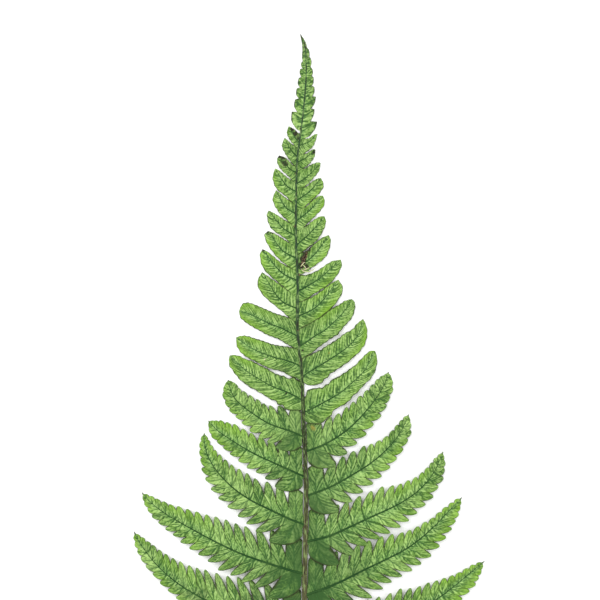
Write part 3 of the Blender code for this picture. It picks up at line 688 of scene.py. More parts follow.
def smooth_path(points, count):
    """Evenly spaced points on a smooth curve through the given ones."""
    knots = np.array(points, float)
    padded = np.vstack([2 * knots[0] - knots[1], knots, 2 * knots[-1] - knots[-2]])
    dense = []
    for k in range(1, len(padded) - 2):
        a, b, c, d = padded[k - 1 : k + 3]
        for t in np.linspace(0.0, 1.0, STEPS_TO_A_SPAN, endpoint=False):
            bend = (2 * a - 5 * b + 4 * c - d) * t**2 + (3 * b - a - 3 * c + d) * t**3
            dense.append(0.5 * (2 * b + (c - a) * t + bend))
    dense = np.array(dense + [padded[-2]])
    run = np.concatenate([[0.0], np.cumsum(np.linalg.norm(np.diff(dense, axis=0), axis=1))])
    wanted = np.linspace(0.0, run[-1], count)
    return np.stack([np.interp(wanted, run, dense[:, k]) for k in range(dense.shape[1])], axis=1)


def rachis_radius(y):
    """Radius of the rachis in metres, at a height on the grid."""
    stations = np.array(RACHIS)
    return float(np.interp(-y, -stations[:, 1], stations[:, 2])) / 1000.0


def rachis_x(y):
    """Where the middle of the rachis stands on the grid, at a height on it."""
    stations = np.array(RACHIS)
    return np.interp(-np.asarray(y, float), -stations[:, 1], stations[:, 0])


def rib_height(s, start, length):
    """Height of a pinna's rib, from the rachis at s = 0 to the tip at s = 1, which lies on the surface."""
    s = np.clip(s, 0.0, 1.0)
    arch = LIFT_PER_LENGTH * length * np.sin(math.pi * s) ** ARCH_POWER
    return start + (TIP_CLEARANCE - start) * s**FALL_POWER + arch


def wave_height(spots, amount):
    """Slow uneven waves over the whole dried frond, as a height for each plan point in grid steps."""
    x, y = spots[..., 0], spots[..., 1]
    waves = sum(share * np.sin(right * x + down * y + start) for right, down, start, share in WAVES)
    return amount * waves / ALL_WAVES


def shade_beside(spots):
    """How much darker each plan point of a lobed pinna is for lying near the rachis."""
    x, y = spots[..., 0], spots[..., 1]
    width = np.interp(y, SHADE_AT, SHADE_WIDTH)
    return np.interp(y, SHADE_AT, SHADE) * np.exp(-(((x - rachis_x(y)) / width) ** 2))


def spot_strength(spots, marks):
    """How deep each plan point lies in the nearest of some round marks: 1 at a mark's middle, 0 outside."""
    depth = np.zeros(spots.shape[:-1])
    for x, y, radius in marks:
        away = np.hypot(spots[..., 0] - x, spots[..., 1] - y)
        depth = np.maximum(depth, np.clip(MARK_EDGE - away / radius, 0.0, 1.0))
    return depth


class Surface:
    """Points, faces and painted values of one blade, before it gets its thickness."""

    PAINT = ("lobe", "streak", "reach", "rim", "warm", "shade", "tone", "seed")

    def __init__(self, shape, seed):
        self.shape = shape
        self.seed = seed
        self.spots = []
        self.heights = []
        self.faces = []
        self.paint = {name: [] for name in self.PAINT}
        self.veins = []
        self.count = 0

    def add(self, spots, heights, **paint):
        """Adds points and gives their numbers, in the shape that they came in."""
        spots = np.asarray(spots, float)
        size = int(np.prod(spots.shape[:-1]))
        self.spots.append(spots.reshape(size, 2))
        self.heights.append(np.broadcast_to(heights, spots.shape[:-1]).reshape(size))
        paint.setdefault("seed", self.seed)
        for name in self.PAINT:
            value = np.broadcast_to(paint.get(name, 0.0), spots.shape[:-1])
            self.paint[name].append(value.reshape(size))
        first = self.count
        self.count += size
        return np.arange(first, self.count).reshape(spots.shape[:-1])

    def at(self, numbers):
        """Plan points of some point numbers."""
        return np.concatenate(self.spots)[numbers]

    def weave(self, grid):
        """Faces between neighbouring rows and columns of a grid of point numbers."""
        quads = np.stack([grid[:-1, :-1], grid[1:, :-1], grid[1:, 1:], grid[:-1, 1:]], axis=-1)
        self.faces.extend(quads.reshape(-1, 4).tolist())

    def fan(self, middle, line):
        """Triangles from one point to each step of a line."""
        self.faces.extend([int(middle), int(a), int(b)] for a, b in zip(line[:-1], line[1:]))

    def arrays(self):
        """All plan points, and their heights with the slow waves of the dried leaf."""
        spots, heights = np.concatenate(self.spots), np.concatenate(self.heights)
        return spots, np.maximum(heights + wave_height(spots, self.shape.wave), TIP_CLEARANCE)


def paint_points(mesh, painted):
    """Stores named values on the points of a mesh, where the materials read them."""
    for key, values in painted.items():
        layer = mesh.attributes.new(key, "FLOAT", "POINT")
        layer.data.foreach_set("value", np.asarray(values, np.float32))


def shade_smooth(mesh, sharp_from):
    """Smooth shading, with sharp edges from an angle in degrees."""
    mesh.shade_smooth()
    mesh.set_sharp_from_angle(angle=math.radians(sharp_from))


def thin_blade(name, surface, thickness):
    """A closed blade from a surface: upper face, lower face and the narrow edge between them."""
    spots, heights = surface.arrays()
    flat = plan(spots)
    upper = np.column_stack([flat, heights + thickness / 2])
    lower = np.column_stack([flat, heights - thickness / 2])
    count = len(spots)
    tops, edges = [], {}
    for face in surface.faces:
        corners = flat[face]
        after = np.roll(corners, -1, axis=0)
        area = np.sum(corners[:, 0] * after[:, 1] - corners[:, 1] * after[:, 0])
        ring = face if area > 0 else face[::-1]
        tops.append(ring)
        for a, b in zip(ring, ring[1:] + ring[:1]):
            edges[(a, b)] = True
    walls = [(b, a, a + count, b + count) for a, b in edges if (b, a) not in edges]
    bottoms = [[k + count for k in reversed(ring)] for ring in tops]
    mesh = bpy.data.meshes.new(name)
    mesh.from_pydata(np.vstack([upper, lower]).tolist(), [], tops + bottoms + walls)
    painted = {key: np.concatenate(values) for key, values in surface.paint.items()}
    painted.update({key: spot_strength(spots, marks) for key, marks in MARKS.items()})
    painted = {key: np.tile(values, 2) for key, values in painted.items()}
    painted["under"] = np.repeat((0.0, 1.0), count)
    paint_points(mesh, painted)
    shade_smooth(mesh, 50.0)
    return mesh


def joined_blades(name, surfaces, shape, material):
    """One piece from several blades that grow on the same stretch of the rachis."""
    parts = []
    for k, surface in enumerate(surfaces):
        part = bpy.data.objects.new(f"{name}_{k}", thin_blade(f"{name}_{k}", surface, shape.blade_thickness))
        bpy.context.scene.collection.objects.link(part)
        parts.append(part)
    if len(parts) > 1:
        with bpy.context.temp_override(active_object=parts[0], selected_editable_objects=parts):
            bpy.ops.object.join()
    piece = parts[0]
    piece.name = name
    piece.data.name = name
    piece.data.materials.clear()
    piece.data.materials.append(material)
    return belongs(piece)


def belongs(piece):
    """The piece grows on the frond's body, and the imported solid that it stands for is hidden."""
    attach(piece, BODY)
    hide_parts(NODE)
    return piece


class LobedPinna:
    """Where the lobes of one pinna stand, how they lean and how far they reach, on the grid."""

    FINE = 241
    NEAR = 1.5

    def __init__(self, rib, upper, lower, lobes, cut_base, cut_tip):
        self.path = smooth_path(rib, self.FINE)
        self.run = np.concatenate([[0.0], np.cumsum(np.linalg.norm(np.diff(self.path, axis=0), axis=1))])
        self.length = self.run[-1]
        radius = rachis_radius(self.path[0][1])
        self.start_height = LOBED_START * radius
        self.root = radius / GRID + ROOT_GAP
        self.outward = 1.0 if rib[-1][0] > rib[0][0] else -1.0
        self.widths = {1.0: upper, -1.0: lower}
        self.lobes = lobes
        self.cuts = (cut_base, cut_tip)
        shares = np.linspace(0.0, 1.0, lobes + 1)
        stretch = self.length * LAST_LOBE_END - self.root
        self.marks = self.root + stretch * (shares + CROWDING * shares * (1.0 - shares))

    def at(self, distance):
        """Plan point on the rib."""
        return np.stack([np.interp(distance, self.run, self.path[:, k]) for k in (0, 1)], axis=-1)

    def along(self, distance):
        """Direction of the rib."""
        ahead, behind = np.minimum(distance + self.NEAR, self.length), np.maximum(distance - self.NEAR, 0.0)
        step = self.at(ahead) - self.at(behind)
        return step / np.linalg.norm(step, axis=-1, keepdims=True)

    def across(self, distance, side):
        """Direction away from the rib, to one side of it."""
        forward = self.along(distance)
        return np.stack([forward[..., 1], -forward[..., 0]], axis=-1) * self.outward * side

    def half_width(self, s, side):
        """Width of the pinna to one side of its rib."""
        widths = self.widths[side]
        profile = (widths[0],) + tuple(widths) + tuple(widths[-1] * share for share in NARROWING)
        wider = FULLER + WIDER_BASE * math.exp(-((s / WIDER_OUT_TO) ** 2))
        return wider * float(np.interp(s + REACH_AHEAD * (1.0 - s) ** REACH_AHEAD_FADE, STATIONS, profile))

    def cut_depth(self, s, side):
        """Depth of a cut between two lobes, as a share of their reach."""
        shallower = max(0.0, (s - CUTS_SHALLOWER_FROM) / (1.0 - CUTS_SHALLOWER_FROM))
        tip = 1.0 - (1.0 - TIP_CUT_SHARE) * max(0.0, (s - TIP_CUTS_FROM) / (1.0 - TIP_CUTS_FROM))
        return CUT_SHARE[side] * tip * (self.cuts[0] + (self.cuts[1] - self.cuts[0]) * shallower)

    def lobe_frame(self, distance, side):
        """Share of the rib, axis of a lobe there, direction towards the next lobe, angle, and reach."""
        s = distance / self.length
        beside = math.degrees(math.acos(-self.along(self.root)[1]))
        base, mid = (beside - LEAN_CLEAR_OF_STALK, LEAN_UPPER) if side > 0 else (LEAN_LOWER_BASE, LEAN_LOWER)
        first = self.root / self.length
        lean_at = (first, first + LEAN_SETTLES, LEAN_MIDWAY, 1.0)
        angle = math.radians(np.interp(s, lean_at, (base, mid + LEAN_DRIFT, mid - LEAN_DRIFT, LEAN_TIP)))
        forward, across = self.along(distance), self.across(distance, side)
        axis = across * math.sin(angle) + forward * math.cos(angle)
        ahead = forward * math.sin(angle) - across * math.cos(angle)
        return s, axis, ahead, angle, self.half_width(s, side) / math.sin(angle)

    def cut_point(self, k, side):
        """Bottom of the cut before lobe k. The first lobe's edge runs beside the rachis instead."""
        mark = self.marks[k]
        s, axis, _, _, reach = self.lobe_frame(mark, side)
        if k == 0:
            y = self.at(mark)[1] - side * BESIDE_STALK[side] * reach
            return np.array([rachis_x(y) + self.outward * (rachis_radius(y) / GRID + STALK_GAP), y])
        if k == self.lobes:
            return self.at(mark) + self.across(mark, side) * LAST_CUT[0] + self.along(mark) * LAST_CUT[1]
        return self.at(mark) + axis * reach * (1.0 - self.cut_depth(s, side))

    def height(self, spots, distance, side):
        """Height of the blade's middle, for plan points beside the given distances along the rib."""
        s = distance / self.length
        out = side * np.sum((spots - self.at(distance)) * self.across(distance, side), axis=-1)
        slope = IMBRICATE_SLOPE * out * np.maximum(0.0, 1.0 - s / SLOPE_ENDS) * GRID
        curl = MARGIN_CURL * (out * GRID) ** 2
        return rib_height(s, self.start_height, self.length * GRID) - slope - curl


def lobe_relief(reach, v, free, shape):
    """Bulge, furrow and bent margins of one lobe. v runs from -1 to 1 across it. free is 1 past the cuts."""
    dome = shape.dome * (1.0 - v**2) * np.minimum(1.0, reach * BULGE_RISE)
    furrow = shape.groove * np.exp(-((v / FURROW_WIDTH) ** 2)) * (1.0 - reach**2)
    margin = shape.curl * np.abs(v) ** CURL_POWER * free
    trough = shape.groove * np.exp(-((reach / TROUGH_WIDTH) ** 2))
    return dome - furrow - margin - trough


def veinlet_phase(out, aside):
    """Number of veinlets passed, at grid steps out along a lobe and aside from its vein."""
    lean = math.radians(VEINLET_ANGLE)
    return (out * math.sin(lean) - aside * math.cos(lean)) / VEINLET_SPACING


def dry_rim(place, start, rise, most=1.0):
    """How dry the rim is: 0 up to its start, then rising to the most that it reaches."""
    return np.clip((place - start) * rise, 0.0, most)


def free_edges(pinna, side, foot, breadth, cuts, t, length_draw, lean_draw, beside_stalk):
    """Rows of points along the two edges of a lobe, from its cuts out to its rounded end.

    The back edge is rounder than the front one, and the point leans out towards the tip of the pinna.
    """
    _, axis, ahead, _, reach = pinna.lobe_frame(foot, side)
    origin = pinna.at(foot)
    corners = [((cut - origin) @ axis / reach, (cut - origin) @ ahead / breadth) for cut in cuts]
    forward = LOBE_POINT_SHIFT[side] * min(1.0, POINT_SHIFT_FADE * (1.0 - foot / pinna.length))
    shift = (forward + LOBE_LEAN_DRAW * lean_draw) * t**LOBE_POINT_BEND
    beyond_cuts = max(corners[0][0], corners[1][0]) + LEAST_FREE_REACH
    tip_u = max(1.0 + LOBE_LENGTH_DRAW * length_draw, beyond_cuts)
    roundings = (BACK_ROUNDNESS[side], FRONT_ROUNDNESS[side])
    edges = []
    for (edge_u, edge_v), (power, roundness) in zip(corners, roundings):
        u_line = edge_u + (tip_u - edge_u) * t
        v_line = shift + edge_v * (1.0 - t**power) ** roundness
        if beside_stalk and not edges:
            v_line = v_line - BASE_BULGE[side] * np.sin(math.pi * t**0.7)
        edges.append(origin + axis * reach * u_line[:, None] + ahead * breadth * v_line[:, None])
    return edges


def lobed_surface(row, shape, seed):
    """The blade of one lobed pinna, lobe by lobe on both sides of its rib."""
    pinna = LobedPinna(*row)
    draw = np.random.default_rng(seed)
    surface = Surface(shape, seed)
    steps = len(COLUMNS) - 1
    shares = (COLUMNS + 1.0) / 2.0
    pitches = np.diff(pinna.marks)

    def add(spots, distance, side, reach, v, free, size, **paint):
        """Adds points with their height, and with what follows from their place on the pinna and the lobe."""
        s = np.clip(distance / pinna.length, 0.0, 1.0)
        relief = lobe_relief(reach, v, free, shape) + paint.pop("lift", 0.0)
        return surface.add(
            spots,
            pinna.height(spots, distance, side) + relief,
            reach=reach,
            streak=veinlet_phase(reach * size[0], np.abs(v) * size[1]),
            warm=np.clip((s - FRESH_FROM) / FRESH_OVER, 0.0, 1.0),
            seed=seed + 0.5 * side,
            shade=shade_beside(spots) + paint.pop("darker", 0.0),
            **paint,
        )

    rib_distance = np.concatenate([pinna.marks[k] + shares[:-1] * pitches[k] for k in range(pinna.lobes)])
    rib_distance = np.append(rib_distance, pinna.marks[-1])
    rib_lobe = np.concatenate([k + shares[:-1] for k in range(pinna.lobes)] + [[float(pinna.lobes)]])
    rib_spots = pinna.at(rib_distance)
    none = np.zeros(len(rib_distance))
    rib = add(rib_spots, rib_distance, 1.0, none, 2.0 * (rib_lobe % 1.0) - 1.0, 0.0, RIB_STRIP, lobe=rib_lobe)
    ends = []
    for distance, lobe in ((0.0, 0.0), (pinna.length, float(pinna.lobes))):
        spot, distance = pinna.at(np.array([distance])), np.array([distance])
        ends.append(add(spot, distance, 1.0, none[:1], none[:1], 0.0, RIB_STRIP, lobe=lobe, rim=lobe > 0)[0])

    for side in (1.0, -1.0):
        # lines from the rib to the cuts, with the dry rim starting part of the way out
        cuts = [pinna.cut_point(k, side) for k in range(pinna.lobes + 1)]
        rows = np.linspace(0.0, 1.0, INNER_ROWS + 1)[1:]
        lines, depths = [], []
        for k, mark in enumerate(pinna.marks):
            foot = rib_spots[k * steps]
            spots = foot + (cuts[k] - foot) * rows[:, None]
            _, _, _, angle, reach = pinna.lobe_frame(mark, side)
            depth = min(DEEPEST_CUT, float(np.linalg.norm(cuts[k] - foot)) / reach)
            rim = dry_rim(rows, *CUT_RIM)
            if k == 0:
                rim = dry_rim(rows, *STALK_RIM)
            size = (reach, 0.5 * pitches[min(k, pinna.lobes - 1)] * math.sin(angle))
            distance = np.full(len(rows), mark)
            edge = -np.ones(len(rows))
            line = add(spots, distance, side, rows * depth, edge, rim, size, lobe=float(k), rim=rim)
            lines.append(np.concatenate([[rib[k * steps]], line]))
            depths.append(depth)
        for k in range(pinna.lobes):
            mark, pitch = pinna.marks[k], pitches[k]
            foot = mark + LOBE_FOOT * pitch
            _, _, _, angle, reach = pinna.lobe_frame(foot, side)
            breadth = 0.5 * pitch * math.sin(angle)
            length_draw, lean_draw, lift_draw, tone_draw = draw.uniform(-1.0, 1.0, 4)
            size = (reach, breadth)
            # extra painted shade on the first lobes beside the rachis
            darker = FIRST_LOBES_DARKER[side][k] if k < 2 else 0.0

            # the part between the cuts, which the lobe shares with its neighbours
            near, far = surface.at(lines[k]), surface.at(lines[k + 1])
            inner = near[:, None] + (far - near)[:, None] * shares[None, :, None]
            inner_distance = mark + pitch * np.broadcast_to(shares, inner.shape[:2])
            inner_depth = np.linspace(0.0, 1.0, INNER_ROWS + 1)[:, None] * (
                depths[k] + (depths[k + 1] - depths[k]) * shares[None, :]
            )
            grid = np.empty(inner.shape[:2], int)
            grid[0] = rib[k * steps : (k + 1) * steps + 1]
            grid[:, 0], grid[:, -1] = lines[k], lines[k + 1]
            middle = (slice(1, None), slice(1, -1))
            v = np.broadcast_to(COLUMNS, inner.shape[:2])
            grid[middle] = add(
                inner[middle], inner_distance[middle], side, inner_depth[middle], v[middle], 0.0, size,
                lobe=k + (v[middle] + 1.0) / 2.0, tone=tone_draw, darker=darker,
            )
            surface.weave(grid)

            # the free end of the lobe, which the dry rim runs round
            t = LOBE_LAST_ROW * np.sin(np.linspace(0.0, 0.5 * math.pi, OUTER_ROWS + 1))[1:]
            edges = free_edges(
                pinna, side, foot, breadth, cuts[k : k + 2], t, length_draw, lean_draw, beside_stalk=k == 0
            )
            outer = edges[0][:, None] + (edges[1] - edges[0])[:, None] * shares[None, :, None]
            v = np.broadcast_to(COLUMNS, outer.shape[:2])
            depth = depths[k] + (depths[k + 1] - depths[k]) * shares[None, :]
            outer_reach = depth + (1.0 - depth) * t[:, None]
            last = np.arange(len(t))[:, None] == len(t) - 1
            rim = np.maximum(dry_rim(np.abs(v), *LOBE_RIM), last)
            free = np.minimum(1.0, FREE_AT_ONCE * t)[:, None]
            new = add(
                outer, mark + pitch * (v + 1.0) / 2.0, side, outer_reach, v, free, size,
                lobe=k + (v + 1.0) / 2.0, rim=rim, tone=tone_draw,
                lift=LOBE_LIFT_DRAW * lift_draw * t[:, None] ** 2, darker=darker,
            )
            surface.weave(np.vstack([grid[-1:], new]))
            surface.veins.append(np.concatenate([grid[:, MID_COLUMN], new[:-1, MID_COLUMN]])[::2])
        surface.fan(ends[0], lines[0][:FAN_STEPS])
        surface.fan(ends[1], lines[-1])
    return surface, pinna


class PlainPinna:
    """An undivided pinna: its rib, its two edges and its height, on the grid."""

    FINE = 240

    def __init__(self, row, veins, even_edged):
        self.row = row
        self.veins = veins
        self.even_edged = even_edged
        rib, upper, lower = row
        self.rib = smooth_path(rib, self.FINE)
        edges = ((1.0, upper), (-1.0, lower))
        self.edges = {side: smooth_path(edge + (rib[-1],), self.FINE) for side, edge in edges}
        self.length = math.dist(rib[0], rib[-1]) * GRID
        self.start = (LOBED_START if even_edged else SIMPLE_START) * rachis_radius(rib[0][1])

    def on(self, path, s):
        """Plan points a share of the way along the rib or an edge."""
        even = np.linspace(0.0, 1.0, self.FINE)
        return np.stack([np.interp(s, even, path[:, k]) for k in (0, 1)], axis=-1)

    def spots(self, s, t, side):
        """Plan points a share t of the way from the rib to an edge, with small teeth where the veins end."""
        rib_at, edge_at = self.on(self.rib, s), self.on(self.edges[side], s)
        lobe = self.lobe(s, t, side)
        width = np.linalg.norm(edge_at - rib_at, axis=-1)
        tooth = TOOTH_DEPTH * np.cos(2.0 * math.pi * (lobe - 0.5)) * t**4 * np.clip(6.0 * s, 0.0, 1.0)
        joined = PLAIN_JOINED[self.even_edged] * np.exp(-((s / PLAIN_JOINED_OUT_TO) ** 2))
        wider = PLAIN_WIDER[self.even_edged] + joined
        share = t + (tooth + wider * t) / np.maximum(width, 3.0) * np.clip(width / 6.0, 0.0, 1.0)
        return rib_at + (edge_at - rib_at) * share[..., None]

    def lobe(self, s, t, side):
        """Number of the vein that a point belongs to, with its place between the veins as a fraction."""
        return (s - PLAIN_LEAN[side] * t**PLAIN_BEND) * self.veins + 0.5

    def height(self, s, t, side):
        """Height of the blade's middle."""
        fade = np.maximum(0.0, 1.0 - s / SLOPE_ENDS)
        width = np.linalg.norm(self.on(self.edges[side], s) - self.on(self.rib, s), axis=-1) * t * GRID
        if self.even_edged:
            droop = IMBRICATE_SLOPE * width * side * fade + MARGIN_CURL * width**2
        else:
            droop = (SIMPLE_SLOPE * side * (1.0 - s) + SIMPLE_DROOP) * t
        return rib_height(s, self.start, self.length) - droop


def plain_surface(pinna, shape, seed):
    """The blade of one undivided pinna: a grid to each side of its rib, with its veins leaning forward."""
    surface = Surface(shape, seed)
    rows = np.append(np.linspace(0.0, 1.0, ROWS_TO_A_VEIN * pinna.veins + 1)[:-1], LOBE_LAST_ROW)

    def paint_of(spots):
        """Fresher outwards and darker beside the rachis."""
        beside = np.abs(spots[..., 0] - rachis_x(spots[..., 1]))
        if pinna.even_edged:
            dark = EVEN_SHADE[0] * np.exp(-((beside / EVEN_SHADE[1]) ** 2))
        else:
            dark = SIMPLE_SHADE[0] * np.exp(-beside / SIMPLE_SHADE[1])
        return {"warm": np.clip(beside / PLAIN_FRESH_AT[pinna.even_edged], 0.0, 1.0), "shade": dark}

    rib_spots = pinna.on(pinna.rib, rows)
    rib_numbers = surface.add(
        rib_spots,
        rib_height(rows, pinna.start, pinna.length) - PLAIN_FURROW * shape.groove,
        lobe=rows * pinna.veins + 0.5,
        streak=2.0 * rows * pinna.veins,
        **paint_of(rib_spots),
    )
    tip = surface.add(np.array([pinna.row[0][-1]]), TIP_CLEARANCE, lobe=pinna.veins, reach=1.0, rim=1.0)[0]
    sizes = (shape.dome, shape.groove, shape.curl)
    bulge, furrow, margin = (share * size for share, size in zip(PLAIN_RELIEF, sizes))
    for side in (1.0, -1.0):
        s, t = np.meshgrid(rows, PLAIN_COLUMNS[1:], indexing="ij")
        spots, lobe = pinna.spots(s, t, side), pinna.lobe(s, t, side)
        ridge = np.cos(2.0 * math.pi * (lobe - 0.5)) * (1.0 - t**3) * np.minimum(1.0, 4.0 * t)
        relief = bulge * np.sin(math.pi * t) - furrow * ridge - margin * t**6
        new = surface.add(
            spots,
            pinna.height(s, t, side) + relief,
            lobe=lobe,
            reach=t * 0.95,
            rim=dry_rim(t, *PLAIN_RIM),
            streak=2.0 * lobe,
            seed=seed + 0.5 * side,
            **paint_of(spots),
        )
        grid = np.column_stack([rib_numbers, new])
        surface.weave(grid)
        surface.fan(tip, grid[-1])
    return surface


def apex_surface(shape):
    """The frond's tip: its teeth fan out from the rachis to both sides."""
    surface = Surface(shape, APEX_SEED)
    upper_rachis = tuple(point[:2] for point in reversed(RACHIS))[:APEX_RACHIS_POINTS]
    stations = np.array((APEX_TIP,) + APEX_SPINE + upper_rachis)
    columns = APEX_COLUMNS

    def spine_at(y):
        """Plan points of the middle line, at heights on the grid."""
        return np.stack([np.interp(y, stations[:, 1], stations[:, 0]), y], axis=-1)

    veins = []
    for teeth in (APEX_LEFT, APEX_RIGHT):
        outline, feet, lobes = [], [], []
        notch, foot = APEX_TIP, APEX_TIP[1]
        for k, (point, bulge, below) in enumerate(teeth):
            next_foot = below[1] + TOOTH_FOOT_DROP * abs(below[0] - float(spine_at(below[1])[0]))
            rise = np.linspace(np.array(notch), np.array(point), TOOTH_RISE_STEPS + 1)[:-1]
            fall = smooth_path((point, bulge, below), TOOTH_FALL_STEPS + 1)[:-1]
            halves = ((0.0, 0.5, TOOTH_RISE_STEPS), (0.5, 1.0, TOOTH_FALL_STEPS))
            share = np.concatenate([np.linspace(start, end, steps + 1)[:-1] for start, end, steps in halves])
            outline.extend(rise)
            outline.extend(fall)
            feet.extend(foot + (next_foot - foot) * share)
            lobes.extend(k + share)
            veins.append((spine_at(foot + TOOTH_VEIN_FOOT * (next_foot - foot)), np.array(point)))
            notch, foot = below, next_foot
        outline.append(np.array(notch))
        feet.append(foot)
        lobes.append(float(len(teeth)))
        outline, feet, lobes = np.array(outline)[1:], np.array(feet)[1:], np.array(lobes)[1:]
        spine = spine_at(feet)
        out = outline - spine
        outline = outline + out / np.maximum(np.linalg.norm(out, axis=1, keepdims=True), 3.0) * APEX_WIDER
        spots = spine[:, None] + (outline - spine)[:, None] * columns[None, :, None]
        fall = (APEX_HEIGHT - APEX_SPINE_HEIGHT) * columns
        heights = APEX_SPINE_HEIGHT + fall + APEX_BULGE * np.sin(math.pi * columns)
        reach = np.broadcast_to(columns, spots.shape[:2])
        streaks = APEX_STREAKS * lobes
        spine_line = surface.add(spine, APEX_SPINE_HEIGHT, lobe=lobes, streak=streaks, shade=APEX_SHADE[0])
        blade = surface.add(
            spots,
            heights,
            lobe=lobes[:, None],
            streak=streaks[:, None] - reach,
            reach=reach,
            shade=APEX_SHADE[1],
            rim=np.where(reach > 0.99, 1.0, 0.0),
        )
        grid = np.column_stack([spine_line, blade])
        surface.weave(grid)
        tip = surface.add(np.array([APEX_TIP]), TIP_CLEARANCE, rim=1.0, reach=1.0)[0]
        surface.fan(tip, grid[0])
    return surface, veins


def torn_patch(shape):
    """The dead, lifted skin where one pinna has torn at its base, as a lumpy strip over the blade."""
    surface = Surface(shape, TORN_SEED)
    middle = smooth_path(TORN_PATH, TORN_POINTS)
    even, aside_share = np.linspace(0.0, 1.0, TORN_POINTS), np.linspace(-1.0, 1.0, TORN_COLUMNS)
    s, across = np.meshgrid(even, aside_share, indexing="ij")
    step = np.gradient(middle, axis=0)
    aside = np.stack([-step[:, 1], step[:, 0]], axis=1) / np.linalg.norm(step, axis=1, keepdims=True)
    ragged = 1.0 + 0.22 * np.sin(17.0 * s + 2.0 * across) + 0.15 * np.sin(31.0 * s - 3.0)
    width = TORN_WIDTH * np.sin(math.pi * np.clip(0.08 + 0.86 * s, 0.0, 1.0)) ** 0.6 * ragged
    spots = middle[:, None] + aside[:, None] * (across * width)[..., None]
    lumps = TORN_LUMPS[0] * np.sin(9.0 * s + 4.0 * across) + TORN_LUMPS[1] * np.cos(23.0 * s * across)
    heights = TORN_HEIGHT + TORN_CUPPED * across**2 + lumps
    surface.weave(surface.add(spots, heights, reach=1.0 - across**2, rim=np.abs(across)))
    return surface


class Graph:
    """Short calls for the nodes of one shader or geometry tree."""

    def __init__(self, tree):
        self.tree = tree

    def node(self, kind, inputs=None, **settings):
        """A new node with some settings, and with values or links at some inputs."""
        made = self.tree.nodes.new(kind)
        for name, value in settings.items():
            setattr(made, name, value)
        for socket, value in (inputs or {}).items():
            self.feed(made.inputs[socket], value)
        return made

    def feed(self, socket, value):
        """Links an output to a socket, or sets a plain value on it."""
        if isinstance(value, bpy.types.NodeSocket):
            self.tree.links.new(value, socket)
        elif socket.type == "RGBA":
            socket.default_value = tuple(value)[:3] + (1.0,)
        else:
            socket.default_value = value

    def math(self, operation, a, b=0.0, clamp=False):
        return self.node("ShaderNodeMath", {0: a, 1: b}, operation=operation, use_clamp=clamp).outputs[0]

    def times(self, a, b, clamp=False):
        return self.math("MULTIPLY", a, b, clamp)

    def plus(self, a, b):
        return self.math("ADD", a, b)

    def minus(self, a, b):
        return self.math("SUBTRACT", a, b)

    def between(self, value, low, high):
        """0 below low, 1 above high and smooth between them. low may be the larger one."""
        inputs = {0: value, 1: low, 2: high, 3: 0.0, 4: 1.0}
        return self.node("ShaderNodeMapRange", inputs, interpolation_type="SMOOTHSTEP").outputs[0]

    def mix(self, share, a, b):
        """Colour a, turned into b as far as the share says."""
        made = self.node("ShaderNodeMix", data_type="RGBA")
        for name, value in (("Factor_Float", share), ("A_Color", a), ("B_Color", b)):
            self.feed(next(s for s in made.inputs if s.identifier == name), value)
        return next(s for s in made.outputs if s.identifier == "Result_Color")

    def stain(self, colour, share, strength, other):
        """A colour, turned into another one by a share and no further than the strength."""
        return self.mix(self.times(share, strength), colour, other)

    def attribute(self, name):
        return self.node("ShaderNodeAttribute", attribute_name=name).outputs["Fac"]

    def place(self):
        return self.node("ShaderNodeTexCoord").outputs["Object"]

    def noise(self, scale, detail=2.0, place=None):
        inputs = {"Vector": place or self.place(), "Scale": scale, "Detail": detail}
        return self.node("ShaderNodeTexNoise", inputs).outputs["Fac"]


# Scales of the noises in the leaf, and how far they push the edges of its patterns
DRIFT_NOISE = 420.0
PATCH_NOISE = 160.0
GRAIN_NOISE = 1100.0
BROAD_NOISE = 45.0
RAGGED_NOISE = 800.0
LOBE_DRIFT = 0.10
STREAK_DRIFT = 1.1
RIM_DRIFT = 0.9
RUST_DRIFT = 1.4
BLIGHT_RAGGED = 1.5

# Marks on the leaf: where the pattern starts and is full, how much it covers, and its colour
LEAF_MARKS = {
    "patch": (0.34, 0.66, 0.35, "light"),
    "rim": (0.15, 0.85, 0.92, "margin"),
    "rust": (0.3, 1.1, 0.70, "rust"),
    "blight": (0.25, 0.85, 0.92, "blight"),
    "bleach": (0.3, 0.7, 0.80, "pith"),
}

# Where the stalk turns into each colour: starting and done at these places, in metres along the frame
STALK_TURNS = (("stalk_middle", 0.085, 0.018), ("stalk_low", 0.020, -0.022), ("stalk_base", -0.030, -0.110))
STALK_TURNS_DRIFT = 0.012
STALK_STRANDS = (1500.0, 430.0, 1500.0)


def new_material(name, roughness, specular=0.3):
    """A Principled material with plain values, and the graph that its patterns are drawn in."""
    material = bpy.data.materials.new(name)
    material.use_nodes = True
    shader = material.node_tree.nodes["Principled BSDF"]
    shader.inputs["Roughness"].default_value = roughness
    shader.inputs["Specular IOR Level"].default_value = specular
    return material, shader, Graph(material.node_tree)


def finish_material(graph, shader, colour, height, strength, distance):
    """Links a colour, and a height as bump, to the shader."""
    graph.feed(shader.inputs["Base Color"], colour)
    bump = graph.node("ShaderNodeBump", {"Height": height, "Strength": strength, "Distance": distance})
    graph.feed(shader.inputs["Normal"], bump.outputs["Normal"])


